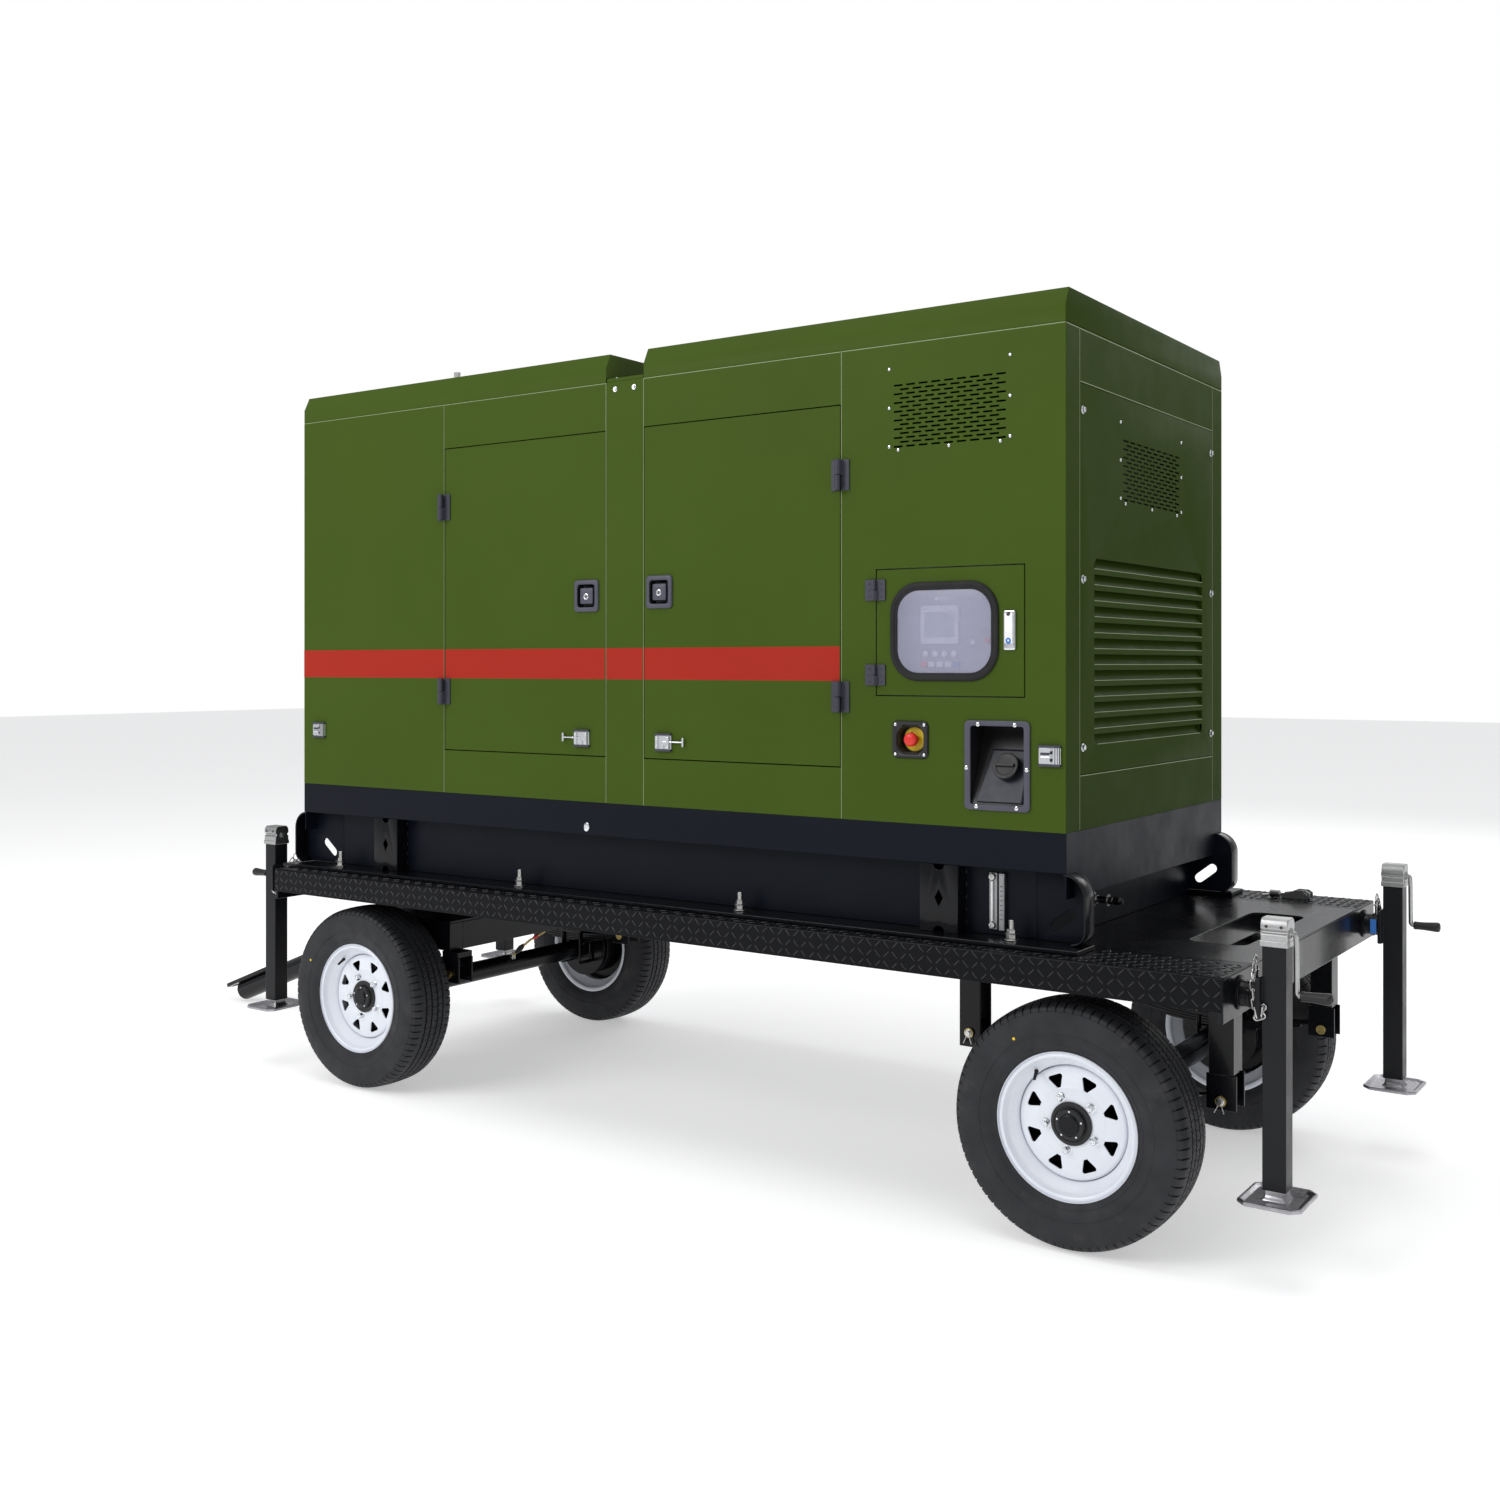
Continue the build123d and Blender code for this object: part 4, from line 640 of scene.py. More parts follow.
# painted highlight: lighter green strip along the lower lip of each louvre
le = Mesh()
for i in range(12):
    zc = 1323.7 + i * LP
    z0 = zc - LH / 2
    e_ = 22 if i == 0 else 0
    le.box(1848.9, 1849.35, -LW + e_, LW - e_, z0 - 2.0, z0 - 0.3)
le.obj("louvre_lips", EDGE, "chassis", bevel=0.1, slot="end_paint")
# sound-absorbing lining seen through the slots and louvres
lin_ = Mesh()
lin_.box(1786, 1792, -545, 545, 1240, 2285)
lin_.obj("inlet_lining_right", RUB, "chassis", bevel=1.0, slot="rubber")

# slanted outlet blades of the hot-air panel on the drawbar end
ob_ = Mesh()
for i in range(19):
    zc = 1330 + i * 42
    prof = [(-1223.4, zc - 8.4), (-1221.8, zc - 7.5), (-1206, zc + 8), (-1202, zc + 14), (-1200.6, zc + 14), (-1204.4, zc + 6.6), (-1220.2, zc - 9)]
    ob_.loft([[(x, -430, z) for x, z in prof], [(x, 430, z) for x, z in prof]])
ob_.obj("outlet_blades", GREEN_END, "chassis", bevel=0.4, slot="end_paint")

# screws on the vents and the lift-off panels
sc = bin_("chassis", CHROME)
for x, z in ((1313, 2370), (1313, 2259), (1313, 2149), (1689, 2370), (1689, 2259), (1689, 2149), (1342, 2138), (1503, 2138), (1660, 2138)):
    for s in (NEAR, FAR):
        sc.screw((x, s * CY, z), (0, s, 0), 5.2, 2.8)
for y, z in ((-256, 2222), (-256, 2113), (-256, 2004), (249, 2222), (249, 2113), (249, 2004), (-218, 1991), (-5, 1991), (210, 1991)):
    sc.screw((1849, y, z), (1, 0, 0), 5.0, 2.8)
for y, z in ((-530, 2220), (-530, 1761), (-530, 1304), (530, 2220), (530, 1761), (530, 1304)):
    sc.bolt((1849, y, z), (1, 0, 0), 8.0, 6.5, 2.0)
    sc.bolt((-1226, y, z), (-1, 0, 0), 8.0, 6.5, 2.0)
# bridge between the roof shells: chrome bolts on the folded ears
for s in (NEAR, FAR):
    for x in (280, 398):
        sc.bolt((x, s * 610, 2453), (0, 0, 1), 7, 5, 2)
    for x in (300, 378):
        sc.bolt((x, s * CY, 2416), (0, s, 0), 6, 5, 1.5)
# far and near roof hems: folded drip strip under the eave
hem = Mesh()
for s in (NEAR, FAR):
    for x0, x1 in ((-1224, 259), (418, 1847)):
        hem.box(x0, x1, s * (CY - 3.4), s * (CY - 0.8), 2440.6, 2443)
for xa, xb in ((1845.6, 1848.2), (-1225.2, -1222.6)):
    hem.box(xa, xb, -640, 640, 2439.8, 2442.6)
hem.obj("roof_hems", GREEN, "chassis", bevel=0.3, slot="canopy_paint")
# painted highlight: lighter green strips along folded sheet edges, beside each seam
ed = Mesh()
W_ = 2.0
for s in (NEAR, FAR):
    ya, yb = sorted((s * (CY + 0.02), s * (CY + 0.25)))
    for x in (-478.6, 261.0, 416.2, 1152.6):
        ed.box(x - W_ / 2, x + W_ / 2, ya, yb, 1081, 2440)
    for x0, x1 in ((-1225, 260), (417, 1848)):
        ed.box(x0, x1, ya, yb, 2437.6, 2439.8)
for xe in (1849.02, -1226.27):
    for s in (-1, 1):
        ed.box(xe, xe + 0.25, s * 548.8 - W_ / 2, s * 548.8 + W_ / 2, 1081, 2440)
    ed.box(xe, xe + 0.25, -545, 545, 1226.4, 1228.4)
    ed.box(xe, xe + 0.25, -545, 545, 2295, 2297)
    ed.box(xe, xe + 0.25, -638, 638, 2437.4, 2439.4)
ed.obj("seam_edges", EDGE, "chassis", bevel=0.1, slot="canopy_paint")
# folded end caps of the two roof shells, down to the seam above the end walls, in the darker end green (painted shade)
for nm, xe in (("right", 1848.6), ("left", -1226.6)):
    ep = [(-641.5, 2443.2), (641.5, 2443.2), (641.5, 2487.2), (619.2, 2534.6), (-619.2, 2534.6), (-641.5, 2487.2)]
    plate(f"roof_cap_{nm}", ep, [], 0.9, GREEN_END, "chassis", (xe, 0, 0), (0, 1, 0), (0, 0, 1), edge=0.3)


# red stripe: thin film on the panel, the doors and the pillar
SZ0, SZ1 = 1481.0, 1582.0
for s, side in ((NEAR, "near"), (FAR, "far")):
    def film(name, x0, x1, body):
        m = Mesh()
        m.box(x0, x1, s * (CY + 0.02), s * (CY + 0.35), SZ0, SZ1)
        return m.obj(name, RED, body, bevel=0.12, slot="canopy_paint")
    film(f"stripe_panel_{side}", -1226, -479.2, "chassis")
    film(f"stripe_pillar_{side}", 262.8, 414.2, "chassis")
    film(f"stripe_door_{side}_left", -472.8, 256.8, f"door_{side}_left")
    film(f"stripe_door_{side}_right", 420.2, 1146.8, f"door_{side}_right")


def door_rule(lo, hi):
    w, h = hi[0] - lo[0], hi[2] - lo[2]
    if w > 600:
        return (GREEN, 1.3)
    if h > 85 and w < 45:
        return (HINGE, 0.9)
    return None                       # bezel and striker are rebuilt below


for side in ("near", "far"):
    for lr in ("left", "right"):
        refine(f"door_{side}_{lr}", door_rule)


def latch(s, side, lr, x, z, e):
    """Recessed paddle latch: broad rounded bezel, dished cup, lifting paddle and a key barrel."""
    body = f"door_{side}_{lr}"
    o, u = (0, 0, 0), (1, 0, 0)
    v = (0, 0, 1)
    Y = lambda d: s * (CY + d)
    m = Mesh()
    rings = []
    for w, h, r, d in ((102, 104, 12, 0.2), (103, 105, 12, 3.5), (101, 103, 12, 6.0), (96, 98, 11, 7.6), (79, 79, 11, 7.8), (76, 76, 10, 7.2), (74, 74, 10, 5.0), (71, 71, 9, -6), (68, 68, 9, -22), (64, 64, 8, -24)):
        rings.append([(p[0], Y(d), p[1]) for p in rrect(x, z, w, h, r, 6)])
    m.loft(rings, cap=False)
    n = len(rings[0])
    m.add(rings[-1], [tuple(range(n))])
    m.obj(f"latch_cup_{side}_{lr}", BEZEL, body, bevel=0.0, angle=40, slot="black_plastic")
    k = Mesh()                        # dark lining of the cup, seen as the black gap round the paddle
    rings = [[(p[0], Y(d), p[1]) for p in rrect(x, z, w, w, r, 6)] for w, r, d in ((75.6, 10, 6.6), (73.4, 10, 4.6), (70.4, 9, -5.9), (67.4, 9, -21.6), (62, 8, -23.4))]
    k.loft(rings, cap=False)
    k.add(rings[-1], [tuple(range(len(rings[0])))])
    k.obj(f"latch_lining_{side}_{lr}", BPLA, body, angle=40, slot="black_plastic")
    # paddle: crowned square plate with a thumb lip and the key barrel
    p = Mesh()
    rings = []
    for w, h, r, d in ((46, 44, 5, -14), (50, 48, 6, -3), (54, 52, 6, 1.0), (53, 51, 6, 3.4), (49, 47, 5, 4.6), (30, 28, 4, 5.2)):
        rings.append([(q[0], Y(d), q[1]) for q in rrect(x, z, w, h, r, 5)])
    p.loft(rings, cap=False)
    n = len(rings[0])
    p.add(rings[0], [tuple(range(n))])
    p.add(rings[-1], [tuple(range(n))])
    p.obj(f"paddle_plate_{side}_{lr}", BEZEL, f"paddle_{side}_{lr}", angle=40, slot="black_plastic", nodes=[f"paddle_{side}_{lr}"])
    c = bin_(f"paddle_{side}_{lr}", CHROME)
    c.lathe([(10.5, 0), (10.5, 1.2), (9.4, 2.2), (7.6, 2.4), (7.2, 1.6), (3.2, 1.6), (3.0, 0.4)], (x, Y(5.0), z - 2), (0, s, 0), 24)
    d = bin_(f"paddle_{side}_{lr}", STEEL)
    d.box(x - 0.9, x + 0.9, Y(6.4), Y(7.4), z - 7.5, z + 3.5)


def striker(s, side, lr, x, z, e, tx):
    """Bright keeper: square pressed plate with dark grey lips and a T-ended slide rod."""
    body = f"door_{side}_{lr}"
    Y = lambda d: s * (CY + d)
    c = bin_(body, CHROME)
    c.box(x - 30, x + 30, Y(0.3), Y(4), z - 26, z + 26)
    c.box(x - 27, x + 27, Y(3.6), Y(9.5), z - 20, z + 20)
    c.box(x - 27, x - 17, Y(9.2), Y(13.5), z - 20, z + 20)
    c.box(x + 17, x + 27, Y(9.2), Y(13.5), z - 20, z + 20)
    c.box(x - 6, x + 6, Y(9.2), Y(12.6), z - 20, z - 6)
    for a in (-22, 22):
        for b in (-13, 13):
            c.screw((x + a, Y(13.4), z + b), (0, s, 0), 3.6, 1.6)
    g = bin_(body, HINGE)
    g.box(x - 31, x + 31, Y(0.3), Y(11), z + 21.5, z + 28)
    g.box(x - 31, x + 31, Y(0.3), Y(11), z - 28, z - 21.5)
    r = bin_(body, CHROME)
    r.cyl((x + e * 2, Y(9.0), z + 2), (x + e * 80, Y(9.0), z + 2), 3.2, n=16)
    r.cyl((x + e * 79, Y(9.0), z - 12), (x + e * 79, Y(9.0), z + 16), 3.6, n=16)
    r.lathe([(5, 0), (5.4, 1.5), (5, 6), (3.2, 7)], (x + e * 31, Y(9.0), z + 2), (e, 0, 0), 16)


for s, side in ((NEAR, "near"), (FAR, "far")):
    latch(s, side, "left", 180.5, 1753, 1)
    latch(s, side, "right", 482, 1758, -1)
    striker(s, side, "left", 162, 1288, -1, 0)
    striker(s, side, "right", 500, 1284, 1, 0)


def catch(x, z, s):
    """Fixed bright catch near a corner of the canopy."""
    Y = lambda d: s * (CY + d)
    c = bin_("chassis", CHROME)
    c.box(x - 31, x + 31, Y(0.2), Y(3.5), z - 26, z + 26)
    c.box(x - 29, x + 6, Y(3.2), Y(10), z - 20, z + 20)
    c.box(x + 12, x + 16, Y(3.2), Y(12), z - 22, z + 22)
    c.box(x + 20, x + 24, Y(3.2), Y(12), z - 22, z + 22)
    c.box(x + 27, x + 30, Y(3.2), Y(12), z - 22, z + 22)
    c.cyl((x - 22, Y(11), z - 4), (x + 4, Y(11), z - 4), 3.2, n=14)
    g = bin_("chassis", HINGE)
    g.box(x - 32, x + 32, Y(0.2), Y(10.5), z + 22, z + 28.5)
    g.box(x - 32, x + 32, Y(0.2), Y(10.5), z - 28.5, z - 22)
    g.box(x - 24, x + 2, Y(9.6), Y(11.4), z + 2, z + 9)
    d = bin_("chassis", BPLA)
    for b in (-11, 9):
        d.box(x + 3, x + 9, Y(9.6), Y(11), z + b - 4, z + b + 4)


for s in (NEAR, FAR):
    catch(-1135, 1284, s)
    catch(1805, 1285, s)


def hinge_detail(x, z, s, body_fixed, body_move, e, h, leaf):
    """Countersunk screws of a pressed hinge; e: +1 when the moving leaf is on +X."""
    for sg, body in ((-e, body_fixed), (e, body_move)):
        m = bin_(body, HINGE)
        for dz in (-h * 0.62, 0, h * 0.62):
            m.screw((x + sg * leaf * 0.62, s * (CY + 5.0), z + dz), (0, s, 0), 4.0, 1.4)


for s, side in ((NEAR, "near"), (FAR, "far")):
    for z in (1435, 2079):
        hinge_detail(-477, z, s, "chassis", f"door_{side}_left", 1, 45, 30)
        hinge_detail(1151, z, s, "chassis", f"door_{side}_right", -1, 45, 30)
for z in (1499, 1742):
    hinge_detail(1268, z, NEAR, "chassis", "control_door", 1, 30, 33)


def hardware(lo, hi):
    cx, cz = (lo[0] + hi[0]) / 2, (lo[2] + hi[2]) / 2
    if abs(hi[2] - lo[2] - 58) < 2 and abs(hi[0] - lo[0] - 64) < 2:
        return None                                       # catches are rebuilt above
    if 1320 < cx < 1445 and 1260 < cz < 1375 and lo[2] > 1260 and hi[2] < 1372:
        return None if lo[1] < -645 or hi[1] < -642.5 and lo[1] < -643.2 else (BPLA, 0.6)
    if 1550 < cx < 1750 and cz < 1380 and lo[2] > 1125:
        return None if hi[1] < -642.5 and lo[1] < -646 else (BPLA, 1.2)
    return (HINGE, 0.9)


refine("canopy_hardware", hardware)
# emergency stop: dished square bezel, yellow disc, red mushroom
EX, EZ = 1382.0, 1317.0
m = Mesh()
rings = []
for w, h, r, d in ((114, 106, 16, -0.4), (114, 106, 16, 4.0), (110, 102, 16, 6.6), (96, 90, 16, 7.0), (88, 84, 22, 6.0), (84, 80, 30, 2.0), (82, 78, 34, -10), (80, 76, 34, -28)):
    rings.append([(p[0], -(CY + d), p[1]) for p in rrect(EX, EZ, w, h, r, 8)])
m.loft(rings, cap=False)
m.obj("estop_bezel", BPLA, "chassis", angle=40, slot="black_plastic")
m = Mesh()
m.lathe([(34, 0), (34, 4), (31, 5.2), (24, 5.4), (24, 2), (13, 2)], (EX, -614.8, EZ), (0, -1, 0), 40)
m.obj("estop_ring", YELL, "chassis", angle=40, slot="black_plastic")
m = Mesh()
m.lathe([(12, 0), (12, 20), (13.5, 22), (13.5, 25), (19, 27.5), (20, 31), (20, 38), (18.6, 43), (14.5, 46.6), (8, 48.0), (1, 48.0)], (EX, -607, EZ), (0, -1, 0), 40)
m.obj("estop_mushroom", RPLA, "estop_button", angle=50, slot="red_plastic", nodes=["estop_button"])
for a in (-46, 46):
    for b in (-42, 42):
        sc.screw((EX + a, -(CY + 6.2), EZ + b), (0, -1, 0), 4.6, 2.4)

# fuel filler: broad flange with rounded corners, slope, neck and ribbed cap
FX, FZ = 1650.5, 1253.0
plate("filler_flange", rrect(FX, FZ, 195, 246, 14, 6), [rrect(FX, FZ, 160, 216, 8, 5)], 6.4, BEZEL, "chassis", (0, -CY, 0), (1, 0, 0), (0, 0, 1), edge=1.6)
for a, b in ((-55, 112), (55, 112), (-90, -8), (90, -8), (-60, -113), (60, -113)):
    sc.screw((FX + a, -(CY + 6.3), FZ + b), (0, -1, 0), 6.4, 3.2)
# raised cheek that carries the neck on the slope
ch = Mesh()
sl = lambda z: -(560 + 80 * (1330 - z) / 180)
pl = [(1605, 1296), (1722, 1296), (1726, 1152), (1584, 1152)]
a = [(x, sl(z) - 0.3, z) for x, z in pl]
b = [(x + (4 if x < 1650 else -4), sl(z) - 7, z + (-4 if z > 1200 else 2)) for x, z in pl]
ch.loft([a, b])
ch.obj("filler_cheek", WELL, "chassis", bevel=2.0, slot="black_plastic")
FS = radians(math.degrees(atan2(80, 180)))
nd = Vector((0, -cos(FS), sin(FS)))
n0 = Vector((1667, -(560 + 80 * (1330 - 1241) / 180), 1241))
cp = Mesh()
cp.lathe([(23.4, 10.5), (23.4, 16.6), (37.2, 16.6), (37.8, 17.6), (37.8, 30.0), (36.4, 32.0), (30, 32.6), (27.5, 31.4), (24, 31.2), (1, 31.2)], n0, nd, 64)
_, cu_, cw_ = frame_axes(nd)
for k in range(28):
    a = tau * k / 28
    r = cu_ * cos(a) + cw_ * sin(a)
    t = nd.cross(r)
    c0 = n0 + r * 37.0
    cp.loft([[c0 + nd * 18.5 - t * 1.4, c0 + nd * 18.5 + t * 1.4, c0 + nd * 18.5 + r * 1.0], [c0 + nd * 30 - t * 1.4, c0 + nd * 30 + t * 1.4, c0 + nd * 30 + r * 1.0]])
hx = Vector((1, 0, 0))
hz = nd.cross(hx)
g = [n0 + nd * 31.0 + hx * a + hz * b for a, b in ((-29, -5), (29, -5), (29, 5), (-29, 5))]
g2 = [n0 + nd * 38.8 + hx * a + hz * b for a, b in ((-26, -3.4), (26, -3.4), (26, 3.4), (-26, 3.4))]
cp.loft([g, g2])
cp.obj("fuel_cap_ribbed", BPLA, "fuel_cap", bevel=0.5, slot="black_plastic", nodes=["fuel_cap"], limit=40)

# control door: leaf, window seal, pane, lock
refine("control_door", lambda lo, hi: (GREEN, 1.3) if hi[0] - lo[0] > 100 else (HINGE, 0.8))
WX, WZ = 1486.5, 1621.5
m = Mesh()
rings = []
for w, h, r, y in ((337, 277, 88, -643.2), (338, 278, 88.5, -646), (335, 275, 87, -649.5), (328, 268, 84, -651.0), (318, 258, 79, -651.2), (310, 250, 75, -650.2), (306, 246, 73, -648.0), (300, 240, 70, -647.6), (296, 236, 68, -648.4), (293.5, 233.5, 66.5, -647.6), (292.8, 232.8, 66.1, -645.0), (292.8, 232.8, 66.1, -641.5)):
    rings.append([(p[0], y, p[1]) for p in rrect(WX, WZ, w, h, r, 12)])
m.loft(rings, cap=False)
m.obj("window_seal", RUB, "control_door", angle=60, slot="rubber", nodes=["window_gasket"])
plate("window_pane", rrect(WX, WZ, 292, 232, 65.8, 12), [], 4.6, PANE, "control_door", (0, -641.2, 0), (1, 0, 0), (0, 0, 1), edge=0.8, nodes=["control_window"])
LX, LZ = 1689.0, 1622.0
m = Mesh()
rings = []
for w, h, r, y in ((36, 108, 5, -643.3), (36, 108, 5, -647), (34, 106, 4.5, -649), (28, 98, 3.5, -649.6)):
    rings.append([(p[0], y, p[1]) for p in rrect(LX, LZ, w, h, r, 6)])
m.loft(rings)
m.obj("lock_base", CHROME, "control_lock", angle=40, slot="chrome", nodes=["control_lock"])
m = Mesh()
rings = []
for w, h, r, y in ((25, 84, 3.5, -649.4), (25, 84, 3.5, -654), (23, 82, 3, -656.2), (15, 70, 2.5, -656.8)):
    rings.append([(p[0], y, p[1]) for p in rrect(LX, LZ + 6, w, h, r, 6)])
m.loft(rings)
m.obj("lock_lever", WPLA, "control_lock", angle=40, slot="chrome")
m = Mesh()
m.lathe([(9, 0), (9, 2.2), (7.8, 3.0), (3, 3.1), (2.6, 1.5)], (LX, -653.9, LZ - 28), (0, -1, 0), 28)
m.obj("lock_push", BLUE, "control_lock", angle=40, slot="chrome")
k = bin_("control_lock", STEEL)
k.lathe([(8, 0), (8, 16)], (LX, -627.4, LZ - 36), (0, -1, 0), 20)
k.box(LX - 5, LX + 5, -631, -627, LZ - 80, LZ - 31)
k.cyl((LX, -655.5, LZ + 44), (LX, -657.0, LZ + 44), 6.5, 5.5, n=20)


def cabinet(lo, hi):
    w, h = hi[0] - lo[0], hi[2] - lo[2]
    if w > 500:
        return (CABP, 1.5)
    if w > 100:
        return None
    return None


refine("control_cabinet", cabinet)
# instrument panel behind the window
m = Mesh()
rings = [[(p[0], y, p[1]) for p in rrect(1456, 1641.5, w, h, r, 5)] for w, h, r, y in ((120, 109, 6, -606.1), (120, 109, 6, -611.5), (117, 106, 5, -613), (98, 76, 3, -613), (96, 74, 3, -611.4))]
m.loft(rings, cap=False)
m.add(rings[-1], [tuple(range(len(rings[-1])))])
m.obj("controller_body", CAB, "chassis", angle=40, slot="cabinet_grey")
plate("controller_display", rrect(1456, 1641.5, 94, 72, 3, 3), [], 1.0, DISP, "chassis", (0, -610.6, 0), (1, 0, 0), (0, 0, 1), edge=0.3)
for i in range(4):
    xx = 1411.5 + i * 30
    m = bin_("chassis", WPLA)
    m.lathe([(9, 0), (9, 4.4), (7.8, 6.0), (4, 6.6), (0.6, 6.6)], (xx, -606.2, 1559.5), (0, -1, 0), 24)
for i, mt in enumerate((RPLA, WPLA, WPLA, WPLA, BLUE)):
    x0 = 1394.5 + i * 26
    m = bin_("chassis", mt)
    m.loft([[(p[0], y, p[1]) for p in rrect(x0 + 10, 1529.5, w, h, 2.4, 4)] for w, h, y in ((20, 16, -606.2), (20, 16, -610.8), (17, 13, -612))])
m = bin_("chassis", WPLA)
m.lathe([(8, 0), (8, 5), (6, 7), (0.6, 7.2)], (1560, -606.2, 1592), (0, -1, 0), 24)
m = bin_("chassis", RPLA)
m.lathe([(9, 0), (9, 5), (7, 8), (0.6, 8.2)], (1604, -606.2, 1596), (0, -1, 0), 24)
for b in (-88, 86):
    for a in (-140, 140):
        sc.screw((WX + a * 0.93, -606.2, WZ + b), (0, -1, 0), 4, 2)
# neutral raised plate above the controller
m = bin_("chassis", CAB)
m.loft([[(p[0], y, p[1]) for p in rrect(1462, 1715, w, h, 3, 4)] for w, h, y in ((46, 10, -606.2), (45, 9, -607.2))])


# ------------------------------------------------------------------ deck and skid
def lozenge(m, c, a, n, length=27.0, width=4.9, h=1.9):
    """Raised bar of a tread plate: c centre, a long direction, n outward normal."""
    c, a, n = Vector(c), Vector(a).normalized(), Vector(n)
    b = n.cross(a)
    pts = []
    for r, hh in ((1.0, -0.15), (0.74, h * 0.8), (0.34, h)):
        ring = []
        for i in range(10):
            t = tau * i / 10
            ring.append(c + a * (cos(t) * length / 2 * (r if hh < 0.5 else 0.5 + r * 0.45)) + b * (sin(t) * width / 2 * r) + n * hh)
        pts.append(ring)
    vs = [p for r in pts for p in r]
    k = 10
    fs = [(i, (i + 1) % k, (i + 1) % k + k, i + k) for i in range(k)] + [(i + k, (i + 1) % k + k, (i + 1) % k + 2 * k, i + 2 * k) for i in range(k)]
    fs.append(tuple(2 * k + i for i in range(k)))
    m.add(vs, fs)


DX0, DX1, DY0, DY1, DZ0, DZ1 = -1251.0, 2305.0, 530.0, 761.0, 683.0, 768.5
for s, side in ((NEAR, "near"), (FAR, "far")):
    m = Mesh()
    yo = DY1 - 1.95
    prof = [(s * (DY0 + 0.3), DZ1 - 4.2), (s * (DY0 + 0.3), DZ1 - 0.2)]
    prof += [(s * y, z) for y, z in arc(yo - 6, DZ1 - 6, 6, 90, 0, 5)]
    prof += [(s * yo, DZ0 + 0.5), (s * (yo - 4), DZ0 + 0.5)]
    prof += [(s * (yo - 4), DZ1 - 10), (s * (yo - 8), DZ1 - 4.2)]
    m.loft([[(DX0, y, z) for y, z in prof], [(DX1, y, z) for y, z in prof]])
    m.obj(f"tread_sheet_{side}", TREAD, "chassis", bevel=0.8, slot="tread_plate", nodes=["deck_tread_plates"])
    # raised tread bars in the lighter bar tone: worn tops plus a painted highlight
    b = Mesh()
    P = 27.0
    nx = int((DX1 - DX0 - 20) / P)
    for i in range(nx + 1):
        x = DX0 + 14 + i * (DX1 - DX0 - 28) / nx
        for j in range(7):
            y = yo - 16 - j * P
            if y < DY0 + 12:
                continue
            if y < 704 and -1290 < x < 1912 and y > 570:
                continue
            if y <= 570 and x < 1912:
                continue
            g = 1 if (i + j) % 2 else -1
            lozenge(b, (x, s * y, DZ1 - 0.2), (1, g, 0), (0, 0, 1))
        for j in range(3):
            z = DZ1 - 14 - j * 27.5
            g = 1 if (i + j) % 2 else -1
            lozenge(b, (x, s * (yo - 0.02), z), (1, 0, g), (0, s, 0), length=26 if j < 2 else 24)
    b.obj(f"tread_bumps_{side}", TREADB, "chassis", angle=60, slot="tread_plate")
refine("deck_center_plate", BLACK, width=1.0)

POSTS = (-785.0, 1467.0)
EARX = ((1740.2, 1904.0, 1, 1817.0), (-1070.2, -1281.0, -1, -1148.0))


def skid_rule(lo, hi):
    w, d, h = (hi[i] - lo[i] for i in range(3))
    if h > 185 and d > 50 and w < 125 and w > 50 and hi[2] > 960:
        return None                               # posts and ear rims are rebuilt below
    if d < 8 and h > 185 and w < 230 and (lo[0] > 1700 or hi[0] < -1000):
        return None                               # ear webs
    if w < 30 and d < 30 and h < 20:
        return None                               # anchors
    if abs(lo[0] - 1600) < 2 and d < 20:
        return None                               # sight gauge
    if lo[0] > 1740 and d < 30 and h < 30:
        return None                               # drain
    if h < 14 and d > 100 and w > 3000:
        return (BLACK, 2.0)                       # polished bottom flange
    return (SKID, 1.6)


